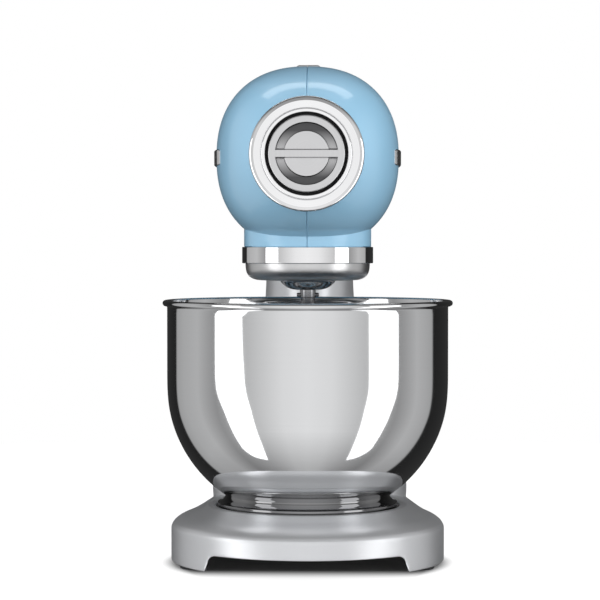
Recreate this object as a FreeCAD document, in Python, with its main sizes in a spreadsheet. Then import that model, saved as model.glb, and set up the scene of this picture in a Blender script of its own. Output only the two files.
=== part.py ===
import FreeCAD
import Part
import Sketcher
import math
import os
from types import SimpleNamespace

# Stand mixer with a tilting head, a bayonet bowl and a planetary tool drive.
# Millimetres. The origin is on the ground at the middle of the outline, +Z is up, the front faces -Y.

DIMENSIONS = {
    # Main axes: the bowl axis stands at bowl_y, the head axis lies at head_z, the hinge runs along X
    "bowl_y": -90.5,
    "head_z": 308,
    "hinge_y": 112,
    "hinge_z": 232,
    "tilt_limit": 34,
    # Clearances
    "running_gap": 0.05,
    "seam_gap": 0.05,
    # Head shells: a bullet turned about the head axis, with a collar about the bowl axis
    "head_radius": 70,
    "nose_reach": 79,
    "nose_radius": 42,
    "rear_y": 201,
    "rear_radius": 51.6,
    "shell_wall": 3,
    "collar_radius": 48.4,
    "collar_bottom": 240.4,
    "collar_bore_top": 263,
    "skirt_seat_radius": 50.2,
    "nose_hole": 33.6,
    "lug_slot_half": 18.6,
    "lug_slot_front": 95,
    "lug_slot_back": 129,
    "shell_top": 400,
    # Side trim bars and the shell screws under them
    "trim_bottom": 301.5,
    "trim_top": 313.5,
    "trim_front": -122,
    "trim_back": 34,
    "trim_proud": 1.8,
    "shell_screw_front": -112,
    "shell_screw_back": -60,
    "shell_screw_z": 307.5,
    "shell_screw_shank": 1.8,
    "shell_screw_head": 3,
    "shell_screw_head_height": 1.6,
    "shell_screw_sink": 0.8,
    "shell_screw_end": 38,
    # Front attachment hub
    "ring_inner": 33.05,
    "ring_face_radius": 38.5,
    "ring_thickness": 5.5,
    "ring_shoulder": 41.2,
    "ring_shoulder_drop": 1.2,
    "ring_edge": 0.8,
    "ring_screw_circle": 37.4,
    "ring_screw_shank": 1.25,
    "ring_screw_head": 2.4,
    "ring_screw_head_height": 2,
    "ring_screw_bite": 2.2,
    "socket_outer": 33,
    "socket_bore": 30.25,
    "socket_face_y": -174.2,
    "socket_floor_y": -160,
    "socket_back_y": -157,
    "socket_hole": 10,
    "gasket_bore": 26.2,
    "gasket_face_y": -163.5,
    "cover_radius": 27.75,
    "cover_face_y": -178,
    "cover_back_y": -164.2,
    "cover_edge": 1.6,
    "cover_spigot": 25.9,
    "cover_spigot_y": -160.4,
    "cover_hollow": 21,
    "cover_hollow_y": -168.6,
    "groove_outer": 22.6,
    "groove_inner": 16.4,
    "groove_depth": 6.5,
    "grip_field_depth": 1.2,
    "grip_half": 3.1,
    # Skirt ring under the collar
    "skirt_radius": 49.9,
    "skirt_bottom": 228,
    "skirt_bore": 48.1,
    "skirt_flange": 1.5,
    "skirt_flange_bore": 45.6,
    # Planetary carrier and tool shaft
    "carrier_radius": 47.4,
    "carrier_bottom": 215,
    "carrier_flat": 33.6,
    "carrier_shoulder": 226,
    "carrier_curve": 16,
    "carrier_top": 237.5,
    "carrier_rim": 4,
    "carrier_floor": 5,
    "carrier_boss": 13,
    "carrier_shaft_radius": 7,
    "carrier_shaft_low": 217,
    "carrier_shaft_high": 296,
    "tool_boss": 12,
    "tool_boss_top": 240,
    "tool_radius": 6,
    "tool_end_radius": 5.5,
    "tool_step": 201,
    "tool_low": 184,
    "tool_high": 251.6,
    "tool_bush_radius": 8.5,
    "tool_pin_radius": 1.6,
    "tool_pin_half": 8.5,
    "tool_pin_z": 203.4,
    "cap_low": 207.4,
    "cap_top": 219.6,
    "cap_low_radius": 10,
    "cap_radius": 21.4,
    "cap_curve": 11,
    "cap_bore": 6.4,
    # Gears: tooth counts, modules and places
    "ring_teeth": 44,
    "planet_teeth": 16,
    "planet_module": 1.5,
    "ring_gear_radius": 42,
    "ring_gear_low": 242,
    "ring_gear_high": 252,
    "planet_low": 243,
    "planet_high": 251,
    "crown_teeth": 24,
    "pinion_teeth": 12,
    "bevel_module": 2.5,
    "bevel_face": 9,
    "crown_back": 25,
    "crown_hub": 14,
    "crown_rim": 21.5,
    "pinion_back": 40,
    "pinion_hub": 11,
    "main_teeth": 36,
    "counter_pinion_teeth": 20,
    "counter_teeth": 40,
    "motor_teeth": 16,
    "spur_module": 1,
    "second_stage_front": -37,
    "second_stage_back": -27,
    "first_stage_front": -22,
    "first_stage_back": -12,
    "tooth_slack": 0.14,
    "bevel_slack": 0.34,
    # Main shaft and counter shaft
    "main_radius": 6,
    "main_front": -153,
    "main_back": -26,
    "drive_radius": 8.5,
    "drive_front": -166,
    "drive_square": 8,
    "drive_depth": 11,
    "counter_radius": 5,
    "counter_front": -47.5,
    "counter_back": -0.5,
    # Gearbox frame
    "plate_radius": 44.5,
    "plate_low": 252,
    "plate_high": 260,
    "boss_radius": 17,
    "boss_high": 282.4,
    "boss_bore": 8.6,
    "lower_bearing_low": 252,
    "lower_bearing_high": 261,
    "upper_bearing_low": 273,
    "carrier_bearing_radius": 13,
    "front_wall_front": -136,
    "front_wall_back": -129,
    "front_wall_radius": 50,
    "housing_radius": 14.5,
    "main_bearing_radius": 11,
    "front_bearing_front": -152.9,
    "front_bearing_back": -146,
    "rear_wall_front": -48,
    "rear_wall_back": -40,
    "rear_wall_radius": 56,
    "web_inner": 36.5,
    "web_outer": 42,
    "web_low": 268,
    "web_high": 313,
    "foot_block_inner": 30,
    "foot_block_outer": 40,
    "foot_block_half": 15,
    "foot_block_high": 272,
    "rail_low": 290,
    "rail_high": 304,
    "rail_back": 96,
    "spine_half": 18,
    "spine_low": 261,
    "spine_high": 268,
    "spine_back": 126,
    "post_radius": 5,
    "post_gap": 1.5,
    "lug_radius": 13,
    "lug_half": 18,
    "arm_half": 14,
    "tongue_half": 8,
    "tongue_front": 104,
    "tongue_back": 114,
    "tongue_low": 205,
    # Hinge
    "hinge_pin_radius": 5,
    "hinge_pin_half": 34,
    "bush_radius": 7.5,
    "bush_inner_x": 8,
    # Motor
    "motor_shaft_radius": 5,
    "motor_shaft_front": -23,
    "motor_shaft_back": 112,
    "bracket_radius": 36,
    "front_bracket_front": -6,
    "front_bracket_back": 0,
    "rear_bracket_front": 88,
    "rear_bracket_back": 94,
    "motor_bearing_radius": 9,
    "stator_radius": 36,
    "stator_bore": 23.5,
    "stator_front": 14,
    "stator_back": 58,
    "winding_inner": 24,
    "winding_outer": 28.5,
    "winding_length": 9.6,
    "rotor_radius": 22.5,
    "rotor_front": 12,
    "rotor_back": 60,
    "rotor_slots": 12,
    "rotor_slot_half": 1.5,
    "rotor_slot_depth": 7,
    "commutator_radius": 12,
    "commutator_front": 70,
    "commutator_back": 84,
    "brush_tip": 12.3,
    "brush_end": 28,
    "brush_front": 74,
    "brush_back": 80,
    "brush_half": 4,
    "holder_tip": 16,
    "holder_end": 33,
    "holder_front": 71,
    "holder_half": 7.5,
    "fan_front": 98,
    "fan_back": 108,
    "fan_plate": 2,
    "fan_hub": 9,
    "fan_radius": 30,
    "fan_blades": 11,
    "fan_blade_half": 0.8,
    "motor_screw_circle": 31.5,
    "motor_screw_radius": 2,
    "motor_screw_head": 3.6,
    "motor_screw_head_height": 3,
    # Control board on the frame's spine
    "board_half": 24,
    "board_front": 118,
    "board_back": 120,
    "board_top": 336,
    "heatsink_half": 14,
    "heatsink_back": 128,
    "heatsink_low": 296,
    "heatsink_high": 326,
    "capacitor_radius": 6,
    "capacitor_back": 134,
    "capacitor_x": -14,
    "capacitor_z": 280,
    # Speed lever on the top of the head, and its slide potentiometer
    "lever_y": -18,
    "lever_travel": 50,
    "lever_half_width": 12.5,
    "lever_half_length": 6,
    "lever_lift": 0.8,
    "lever_shoulder": 3.2,
    "lever_height": 7.5,
    "lever_crown": 8,
    "lever_curve": 5.2,
    "stem_half_width": 3,
    "stem_half_length": 4,
    "stem_low": -8,
    "slot_half_width": 3.5,
    "slot_end": 6,
    "slider_half": 6,
    "slider_low": -11,
    "pot_half": 8,
    "pot_low": -17,
    "pot_high": -11.3,
    "pot_front": -39,
    "pot_back": 62,
    # Bowl and its foot
    "rim_radius": 110.5,
    "rim_top": 200,
    "rim_height": 4.5,
    "bowl_radius": 107,
    "bowl_wall": 1.2,
    "bowl_bend_z": 135,
    "bowl_bend": 100.5,
    "bowl_floor_z": 52,
    "foot_radius": 68.5,
    "foot_bore": 56,
    "foot_bottom": 43.5,
    "foot_edge": 2,
    "foot_lip_z": 46.4,
    "foot_neck": 62.5,
    "foot_curve": 7,
    "tab_inner": 49,
    "tab_low": 44.2,
    "tab_high": 47.6,
    "tab_half_angle": 18,
    # Bowl seat with bayonet lugs
    "seat_radius": 70,
    "seat_low": 41.5,
    "seat_high": 43.2,
    "seat_recess": 70.4,
    "seat_boss": 48,
    "seat_boss_bore": 40,
    "seat_boss_high": 51.2,
    "seat_lug_radius": 53.5,
    "seat_lug_low": 48.2,
    "seat_lug_half_angle": 20,
    "lug_count": 3,
    "seat_screw_circle": 32,
    "seat_screw_shank": 2,
    "seat_screw_head": 3.6,
    "seat_screw_head_height": 2,
    "seat_screw_low": 37,
    # Base casting
    "base_front_radius": 104,
    "base_rear_radius": 82,
    "base_rear_y": 92,
    "base_bottom": 2.5,
    "base_wall": 6,
    "base_hollow_top": 26,
    "base_roof_inset": 24,
    "base_roof_rear_inset": 46,
    "base_roof": 36,
    "arch_half": 76,
    "arch_shoulder": 72.5,
    "arch_shoulder_z": 9,
    "arch_crown": 67,
    "arch_top": 14.8,
    "arch_curve": 6,
    "arch_back": -110,
    "pad_radius": 11,
    "pad_front_x": 86,
    "pad_front_y": -128,
    "pad_rear_x": 48,
    "pad_rear_y": 140,
    "rubber_radius": 9,
    "rubber_edge": 7.6,
    "rubber_step": 0.8,
    "rubber_stem": 3,
    "rubber_stem_top": 9,
    "cover_low": 15,
    "cover_high": 17,
    "cover_inset": 6.4,
    "cover_pad_gap": 11.5,
    "post_x": 52,
    "post_front_y": -50,
    "post_rear_y": 100,
    "cover_post_radius": 5,
    "cover_screw_shank": 1.75,
    "cover_screw_head": 3.5,
    "cover_screw_head_height": 1.8,
    "cover_screw_top": 28,
    # Column
    "column_head_gap": 1.5,
    "column_bolt_x": 62,
    "column_bolt_y": 24,
    "column_bolt_shank": 3,
    "column_bolt_head": 5.5,
    "column_bolt_head_height": 4,
    "column_bolt_top": 50,
    "column_post_radius": 8,
    "column_post_top": 54,
    "column_wall": 9,
    "lug_pocket_front": 97,
    "lug_pocket_back": 126.6,
    "lug_pocket_low": 217.5,
    "arm_pocket_back": 139,
    "arm_pocket_low": 228,
    "tongue_pocket_front": 86,
    "tongue_pocket_back": 116,
    "tongue_pocket_low": 202,
    "tongue_pocket_half": 8.6,
    "pocket_top": 300,
    # Release button in the back of the column
    "button_z": 212,
    "button_radius": 10,
    "button_bore": 10.3,
    "button_face_y": 154,
    "button_back_y": 140,
    "button_edge": 1.5,
    "button_pocket_y": 128,
    "bolt_radius": 4,
    "bolt_front": 122,
    "spring_radius": 6.6,
    "spring_wire": 0.7,
    "spring_wire_sides": 12,
    "spring_turns": 4,
    # Cord inlet and terminals
    "inlet_z": 20,
    "inlet_radius": 7.5,
    "inlet_bore": 3.6,
    "inlet_neck": 6,
    "inlet_front": 168,
    "inlet_collar": 174,
    "inlet_back": 176,
    "terminal_half": 14,
    "terminal_front": 124,
    "terminal_back": 142,
    "terminal_high": 25.4,
}

# Column sections from the foot up: height, half width, half depth and middle in Y
COLUMN_SECTIONS = {
    "foot": (28, 81.5, 81.9, 92),
    "ankle": (46, 81, 81.5, 92),
    "shin": (72, 70, 73, 93),
    "knee": (104, 54, 65.5, 93),
    "waist": (150, 42, 60, 92),
    "neck": (204, 37, 57, 92),
    "crown": (266, 36, 57, 95),
}
for section, (height, half_width, half_depth, middle) in COLUMN_SECTIONS.items():
    DIMENSIONS[f"column_{section}_z"] = height
    DIMENSIONS[f"column_{section}_half_width"] = half_width
    DIMENSIONS[f"column_{section}_half_depth"] = half_depth
    DIMENSIONS[f"column_{section}_middle"] = middle

# Base dome, from the crease above the wall up to the bowl seat: height, inset in front, inset at the rear
DOME_SECTIONS = {
    "crease": (28, 0, 0),
    "shoulder": (32, 2.4, 10),
    "slope": (36.2, 8.4, 28),
    "rise": (40.4, 19.8, 42),
    "deck": (44, 28, 52),
}
for section, (height, inset, rear_inset) in DOME_SECTIONS.items():
    DIMENSIONS[f"dome_{section}_z"] = height
    DIMENSIONS[f"dome_{section}_inset"] = inset
    DIMENSIONS[f"dome_{section}_rear_inset"] = rear_inset

DOC = FreeCAD.newDocument("StandMixer")
SHEET = DOC.addObject("Spreadsheet::Sheet", "Sizes")
for row, (alias, number) in enumerate(DIMENSIONS.items(), start=1):
    SHEET.set(f"A{row}", alias)
    SHEET.set(f"B{row}", str(number))
    SHEET.setAlias(f"B{row}", alias)
DOC.recompute()


class Size:
    """A number together with the sheet formula that gives it."""

    def __init__(self, value, text, driven=True):
        self.value = value
        self.text = text
        self.driven = driven

    def __add__(self, other):
        other = as_size(other)
        return Size(self.value + other.value, f"({self.text} + {other.text})", self.driven or other.driven)

    def __sub__(self, other):
        other = as_size(other)
        return Size(self.value - other.value, f"({self.text} - {other.text})", self.driven or other.driven)

    def __mul__(self, other):
        other = as_size(other)
        return Size(self.value * other.value, f"({self.text} * {other.text})", self.driven or other.driven)

    def __truediv__(self, other):
        other = as_size(other)
        return Size(self.value / other.value, f"({self.text} / {other.text})", self.driven or other.driven)

    def __neg__(self):
        return Size(-self.value, f"(0 - {self.text})", self.driven)

    __radd__ = __add__
    __rmul__ = __mul__

    def __rsub__(self, other):
        return as_size(other) - self


def as_size(number):
    if isinstance(number, Size):
        return number
    return Size(float(number), f"({float(number)})", False)


def root(size):
    return Size(math.sqrt(size.value), f"sqrt({size.text})", size.driven)


S = SimpleNamespace(**{
    alias: Size(float(number), "Sizes." + alias) for alias, number in DIMENSIONS.items()
})

LEFT = 1
RIGHT = -1
ORIGIN = (0, 0, 0)
BOWL_AXIS = (0, S.bowl_y, 0)
HEAD_AXIS = (0, 0, S.head_z)
HINGE = (0, S.hinge_y, S.hinge_z)
TURNS = {
    "Z": FreeCAD.Rotation(),
    "Y": FreeCAD.Rotation(FreeCAD.Vector(1, 0, 0), -90),
    "-Y": FreeCAD.Rotation(FreeCAD.Vector(1, 0, 0), 90),
    "X": FreeCAD.Rotation(FreeCAD.Vector(0, 1, 0), 90),
    "-X": FreeCAD.Rotation(FreeCAD.Vector(0, 1, 0), -90),
}
SIGNS = {"Z": (0, 0, 1), "Y": (0, 1, 0), "-Y": (0, -1, 0), "X": (1, 0, 0), "-X": (-1, 0, 0)}
NODES = []


# Helpers: binding, placing, outlines and plain solids
def bind(thing, **sizes):
    for name, size in sizes.items():
        size = as_size(size)
        setattr(thing, name, size.value)
        if size.driven:
            thing.setExpression(name, size.text)


def place(thing, at, axis="Z"):
    spot = [as_size(part) for part in at]
    thing.Placement = FreeCAD.Placement(FreeCAD.Vector(*[part.value for part in spot]), TURNS[axis])
    for letter, part in zip("xyz", spot):
        if part.driven:
            thing.setExpression("Placement.Base." + letter, part.text)


def shifted(at, axis, distance):
    return tuple(as_size(part) + distance * sign if sign else part for part, sign in zip(at, SIGNS[axis]))


def arc(start, end, radius, turn):
    chord = end - start
    reach = math.sqrt(max(radius ** 2 - (chord.Length / 2) ** 2, 0))
    side = FreeCAD.Vector(-chord.y, chord.x, 0).normalize()
    centre = (start + end) * 0.5 + side * (reach * turn)
    first, last = (start, end) if turn == LEFT else (end, start)
    angles = [math.atan2(point.y - centre.y, point.x - centre.x) for point in (first, last)]
    if angles[1] < angles[0]:
        angles[1] += 2 * math.pi
    circle = Part.Circle(centre, FreeCAD.Vector(0, 0, 1), radius)
    return Part.ArcOfCircle(circle, *angles)


def draw(sketch, outline):
    """Close an outline. A point (x, y) starts a line, (x, y, radius, LEFT or RIGHT) starts an arc."""
    corners = [(as_size(point[0]), as_size(point[1])) for point in outline]
    spots = [FreeCAD.Vector(x.value, y.value, 0) for x, y in corners]
    count = len(outline)
    starts = []
    for index, point in enumerate(outline):
        start = spots[index]
        end = spots[(index + 1) % count]
        if len(point) == 2:
            sketch.addGeometry(Part.LineSegment(start, end))
            starts.append(1)
        else:
            sketch.addGeometry(arc(start, end, as_size(point[2]).value, point[3]))
            starts.append(1 if point[3] == LEFT else 2)
    for index in range(count):
        following = (index + 1) % count
        sketch.addConstraint(
            Sketcher.Constraint("Coincident", index, 3 - starts[index], following, starts[following]))
    for index, (x, y) in enumerate(corners):
        for kind, size, line in (("DistanceX", x, -2), ("DistanceY", y, -1)):
            if size.value == 0 and not size.driven:
                rule = Sketcher.Constraint("PointOnObject", index, starts[index], line)
            else:
                rule = Sketcher.Constraint(kind, -1, 1, index, starts[index], size.value)
            number = sketch.addConstraint(rule)
            if size.driven:
                sketch.setExpression(f"Constraints[{number}]", size.text)
    for index, point in enumerate(outline):
        if len(point) > 2:
            radius = as_size(point[2])
            number = sketch.addConstraint(Sketcher.Constraint("Radius", index, radius.value))
            if radius.driven:
                sketch.setExpression(f"Constraints[{number}]", radius.text)


def sketch_in(body, role, outline):
    plane = next(feature for feature in body.Origin.OriginFeatures if feature.Role == role)
    sketch = body.newObject("Sketcher::SketchObject", body.Name + "_outline")
    sketch.AttachmentSupport = [(plane, "")]
    sketch.MapMode = "FlatFace"
    draw(sketch, outline)
    return sketch


def turned(name, outline, at=ORIGIN, axis="Z"):
    """Revolve an outline of (radius, height) points about an axis."""
    body = DOC.addObject("PartDesign::Body", name)
    sketch = sketch_in(body, "XZ_Plane", outline)
    spin = body.newObject("PartDesign::Revolution", name + "_turn")
    spin.Profile = sketch
    spin.ReferenceAxis = (sketch, ["V_Axis"])
    spin.Angle = 360
    place(body, at, axis)
    return body


def padded(name, outline, low, high, at=ORIGIN, axis="Z"):
    """Raise a flat outline from low to high along an axis."""
    body = DOC.addObject("PartDesign::Body", name)
    sketch = sketch_in(body, "XY_Plane", outline)
    pad = body.newObject("PartDesign::Pad", name + "_pad")
    pad.Profile = sketch
    bind(pad, Length=high - low)
    place(body, shifted(at, axis, low), axis)
    return body


def tube(name, inner, outer, low, high, at=ORIGIN, axis="Z"):
    return turned(name, [(inner, low), (outer, low), (outer, high), (inner, high)], at, axis)


def rod(name, radius, low, high, at=ORIGIN, axis="Z"):
    piece = DOC.addObject("Part::Cylinder", name)
    bind(piece, Radius=radius, Height=high - low)
    place(piece, shifted(at, axis, low), axis)
    return piece


def block(name, x, y, z):
    piece = DOC.addObject("Part::Box", name)
    bind(piece, Length=x[1] - as_size(x[0]), Width=y[1] - as_size(y[0]), Height=z[1] - as_size(z[0]))
    place(piece, (x[0], y[0], z[0]))
    return piece


def spun(piece, direction, angle):
    """Turn a placed piece about its own origin."""
    extra = FreeCAD.Rotation(FreeCAD.Vector(*direction), angle)
    piece.Placement = FreeCAD.Placement(piece.Placement.Base, extra.multiply(piece.Placement.Rotation))
    return piece


def slab(name, role, outline, width, at=ORIGIN):
    """Raise an outline on an upright plane by half the width to each side of it."""
    body = DOC.addObject("PartDesign::Body", name)
    sketch = sketch_in(body, role, outline)
    pad = body.newObject("PartDesign::Pad", name + "_pad")
    pad.Profile = sketch
    pad.SideType = "Symmetric"
    bind(pad, Length=width)
    place(body, at)
    return body


def rectangle(low, high, left, right):
    return [(left, low), (right, low), (right, high), (left, high)]


def wedge(name, radius, low, high, half_angle, middle_angle, at):
    """A pie slice of a cylinder about Z."""
    piece = DOC.addObject("Part::Cylinder", name)
    bind(piece, Radius=radius, Height=high - low, Angle=half_angle * 2)
    place(piece, shifted(at, "Z", low))
    return spun(piece, (0, 0, 1), middle_angle - half_angle.value)


def fuse(name, *pieces):
    result = DOC.addObject("Part::MultiFuse", name)
    result.Shapes = list(pieces)
    result.Refine = False
    return result


def cut(name, base, *tools):
    result = DOC.addObject("Part::Cut", name)
    result.Base = base
    result.Tool = tools[0] if len(tools) == 1 else fuse(name + "_tools", *tools)
    return result


def common(name, base, tool):
    result = DOC.addObject("Part::Common", name)
    result.Base = base
    result.Tool = tool
    return result


def group(name, pieces):
    result = DOC.addObject("Part::Compound", name)
    result.Links = list(pieces)
    return result


def computed(name, shape, at=ORIGIN, axis="Z"):
    piece = DOC.addObject("Part::Feature", name)
    piece.Shape = shape
    place(piece, at, axis)
    return piece


def node(piece):
    NODES.append(piece)
    return piece


def screw(name, shank, head, head_height, low, high, at, axis):
    """A pan-head screw whose head seat lies at low and whose point lies at high along an axis."""
    return turned(name, [
        (0, low - head_height), (head, low - head_height), (head, low),
        (shank, low), (shank, high), (0, high),
    ], at, axis)


def around(radius, count, first=0):
    """Points evenly spaced on a circle, as (x, y, angle in degrees)."""
    angles = [first + 360 * step / count for step in range(count)]
    return [(radius * math.cos(math.radians(a)), radius * math.sin(math.radians(a)), a) for a in angles]


# Gear teeth: flanks follow the involute of a 20 degree rack, heights are in modules
PRESSURE = math.radians(20)
FLANK_STEPS = 4
DEDENDUM = 1.25
STUB_ADDENDUM = 0.9
BEVEL_DEDENDUM = 1.2
BEVEL_ROOT_WIDTH = 1.3
BEVEL_ROOT_DEPTH = 0.02


def tooth_ring(teeth, module, outer, inner, slack):
    """Closed polygon of a spur gear with a tooth on +X."""
    pitch = module * teeth / 2
    base = pitch * math.cos(PRESSURE)
    rolled = math.tan(PRESSURE) - PRESSURE
    flank = []
    for step in range(FLANK_STEPS + 1):
        radius = inner + (outer - inner) * step / FLANK_STEPS
        reach = math.acos(min(base / radius, 1))
        half = math.pi / (2 * teeth) + rolled - (math.tan(reach) - reach) - slack / pitch
        flank.append((radius, half))
    points = []
    for tooth in range(teeth):
        middle = 2 * math.pi * tooth / teeth
        for radius, half in flank:
            points.append((radius, middle - half))
        for radius, half in reversed(flank):
            points.append((radius, middle + half))
    return [FreeCAD.Vector(r * math.cos(a), r * math.sin(a), 0) for r, a in points]


def prism(points, low, high):
    lifted = [point + FreeCAD.Vector(0, 0, low) for point in points]
    face = Part.Face(Part.makePolygon(lifted + lifted[:1]))
    return face.extrude(FreeCAD.Vector(0, 0, high - low))


def spur_gear(teeth, module, low, high, bore, phase=0):
    """Spur gear about Z with a tooth turned by phase degrees from +X."""
    pitch = module.value * teeth.value / 2
    outer = pitch + module.value
    inner = pitch - DEDENDUM * module.value
    points = tooth_ring(int(teeth.value), module.value, outer, inner, S.tooth_slack.value)
    gear = prism(points, low, high)
    gear.rotate(FreeCAD.Vector(), FreeCAD.Vector(0, 0, 1), phase)
    return gear.cut(Part.makeCylinder(bore, high - low, FreeCAD.Vector(0, 0, low)))


def bevel_gear(teeth, mate_teeth, back, hub, rim, bore, phase):
    """Straight bevel gear below its cone apex, which is the origin."""
    teeth_count = int(teeth.value)
    module = S.bevel_module.value
    pitch = module * teeth_count / 2
    cone = math.atan2(teeth.value, mate_teeth.value)
    long = pitch / math.sin(cone)
    short = long - S.bevel_face.value
    tip = cone + math.atan2(STUB_ADDENDUM * module, long)
    foot = cone - math.atan2(BEVEL_DEDENDUM * module, long)
    half = math.pi / (2 * teeth_count) - S.bevel_slack.value / pitch
    spread = module * math.tan(PRESSURE) / pitch

    def spot(distance, lean, turn):
        flat = distance * math.sin(lean)
        return FreeCAD.Vector(flat * math.cos(turn), flat * math.sin(turn), -distance * math.cos(lean))

    deep = foot - BEVEL_ROOT_DEPTH
    blank = [
        (bore, -short * math.cos(foot)), (short * math.sin(foot), -short * math.cos(foot)),
        (long * math.sin(foot), -long * math.cos(foot)), (long * math.sin(foot), -rim),
        (hub, -rim), (hub, -back), (bore, -back),
    ]
    outline = [FreeCAD.Vector(r, 0, z) for r, z in blank]
    face = Part.Face(Part.makePolygon(outline + outline[:1]))
    gear = face.revolve(FreeCAD.Vector(), FreeCAD.Vector(0, 0, 1), 360)
    root_half = half + spread * BEVEL_ROOT_WIDTH
    tip_half = half - spread * STUB_ADDENDUM
    corners = [(deep, -root_half), (tip, -tip_half), (tip, tip_half), (deep, root_half)]
    solids = []
    for number in range(teeth_count):
        middle = 2 * math.pi * number / teeth_count + math.radians(phase)
        ends = []
        for distance in (short, long):
            loop = [spot(distance, lean, middle + turn) for lean, turn in corners]
            ends.append(Part.makePolygon(loop + loop[:1]))
        solids.append(Part.makeLoft(ends, True, True))
    return gear.fuse(solids).removeSplitter()


# Head hull: nose arc, long tail arc and round rear, all tangent, turned about the head axis
nose_face_y = S.bowl_y - S.nose_reach
nose_drop = S.head_radius - S.nose_radius
nose_curve = (S.nose_reach * S.nose_reach + nose_drop * nose_drop) / (2 * nose_drop)
tail_length = S.rear_y - S.rear_radius - S.bowl_y
tail_curve = ((S.head_radius * S.head_radius + tail_length * tail_length - S.rear_radius * S.rear_radius)
              / (2 * (S.head_radius - S.rear_radius)))


def hull_radius(y, curve, proud=0):
    away = as_size(y) - S.bowl_y
    bend = curve + proud
    return S.head_radius - curve + root(bend * bend - away * away)


def hull(name, proud, face_y):
    """The head as a solid, larger than the painted surface by proud."""
    share = (tail_curve + proud) / (tail_curve - S.rear_radius)
    return turned(name, [
        (0, face_y),
        (hull_radius(face_y, nose_curve, proud), face_y, nose_curve + proud, LEFT),
        (S.head_radius + proud, S.bowl_y, tail_curve + proud, LEFT),
        (S.head_radius - tail_curve + share * (tail_curve - S.head_radius), S.bowl_y + share * tail_length,
         S.rear_radius + proud, LEFT),
        (0, S.rear_y + proud),
    ], HEAD_AXIS, "Y")


# Speed lever frame: it slides along the chord of the head's top line
lever_middle = S.lever_y + S.lever_travel / 2
lever_slope = math.degrees(math.atan2((lever_middle - S.bowl_y).value, tail_curve.value))
lever_top = S.head_z + hull_radius(S.lever_y, tail_curve)


def leaning(name, role, outline, width):
    """A slab about the lever's own origin on the head's top, leaning with it."""
    return spun(slab(name, role, outline, width, (0, S.lever_y, lever_top)), (1, 0, 0), -lever_slope)


# Head shells, cast as a left and a right half
shell_screw_spots = [(S.shell_screw_front, nose_curve), (S.shell_screw_back, tail_curve)]
skin = fuse(
    "shell_skin",
    hull("shell_outside", 0, nose_face_y),
    rod("collar_outside", S.collar_radius, S.collar_bottom, S.head_z, BOWL_AXIS),
)
openings = [
    hull("shell_inside", -S.shell_wall, nose_face_y + S.shell_wall),
    rod("collar_bore", S.collar_radius - S.shell_wall, S.skirt_bottom, S.collar_bore_top, BOWL_AXIS),
    rod("skirt_seat", S.skirt_seat_radius, S.skirt_bottom, S.collar_bottom, BOWL_AXIS),
    rod("nose_opening", S.nose_hole, nose_face_y - S.shell_wall, nose_face_y + 2 * S.shell_wall,
        HEAD_AXIS, "Y"),
    block("lug_opening", (-S.lug_slot_half, S.lug_slot_half), (S.lug_slot_front, S.lug_slot_back),
          (S.hinge_z, S.spine_high)),
    leaning("lever_slot", "YZ_Plane", rectangle(S.slider_low, S.lever_height, -S.slot_end,
                                                S.lever_travel + S.slot_end), 2 * S.slot_half_width),
]
for side, axis in (("left", "-X"), ("right", "X")):
    for number, (y, curve) in enumerate(shell_screw_spots):
        at = (0, y, S.shell_screw_z)
        seat = hull_radius(y, curve) - S.shell_screw_head_height - S.shell_screw_sink
        openings.append(rod(f"screw_way_{side}_{number}", S.shell_screw_shank + S.running_gap,
                            S.web_outer, S.head_radius, at, axis))
        openings.append(rod(f"screw_seat_{side}_{number}", S.shell_screw_head + S.running_gap,
                            seat, S.head_radius + S.shell_wall, at, axis))
for number, (x, z, angle) in enumerate(around(S.ring_screw_circle.value, 4, 45)):
    openings.append(rod(f"ring_screw_way_{number}", S.ring_screw_shank, nose_face_y - S.shell_wall,
                        nose_face_y + 2 * S.shell_wall, (x, 0, S.head_z + z), "Y"))
shell = cut("shell_whole", skin, *openings)
for side, low, high in (("left", -S.rim_radius, -S.seam_gap), ("right", S.seam_gap, S.rim_radius)):
    half = block(f"{side}_half", (low, high), (-S.rear_y, S.rear_y + S.shell_wall),
                 (S.skirt_bottom, S.shell_top))
    node(common(f"head_shell_{side}", shell, half))

# Trim bars on the head's sides, over the shell screws
trim_band = cut("trim_band", hull("trim_outside", S.trim_proud, nose_face_y),
                hull("trim_inside", 0, nose_face_y))
for side, low, high in (("left", -S.rim_radius, 0), ("right", 0, S.rim_radius)):
    bar = block(f"{side}_trim_length", (low, high), (S.trim_front, S.trim_back),
                (S.trim_bottom, S.trim_top))
    node(common(f"side_trim_{side}", trim_band, bar))

shell_screws = []
for axis in ("-X", "X"):
    for number, (y, curve) in enumerate(shell_screw_spots):
        seat = hull_radius(y, curve) - S.shell_screw_head_height - S.shell_screw_sink
        shell_screws.append(screw(f"shell_screw{axis}_{number}", S.shell_screw_shank, S.shell_screw_head,
                                  S.shell_screw_head_height, -seat, -S.shell_screw_end,
                                  (0, y, S.shell_screw_z), "-X" if axis == "X" else "X"))
node(group("shell_screws", shell_screws))

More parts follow.
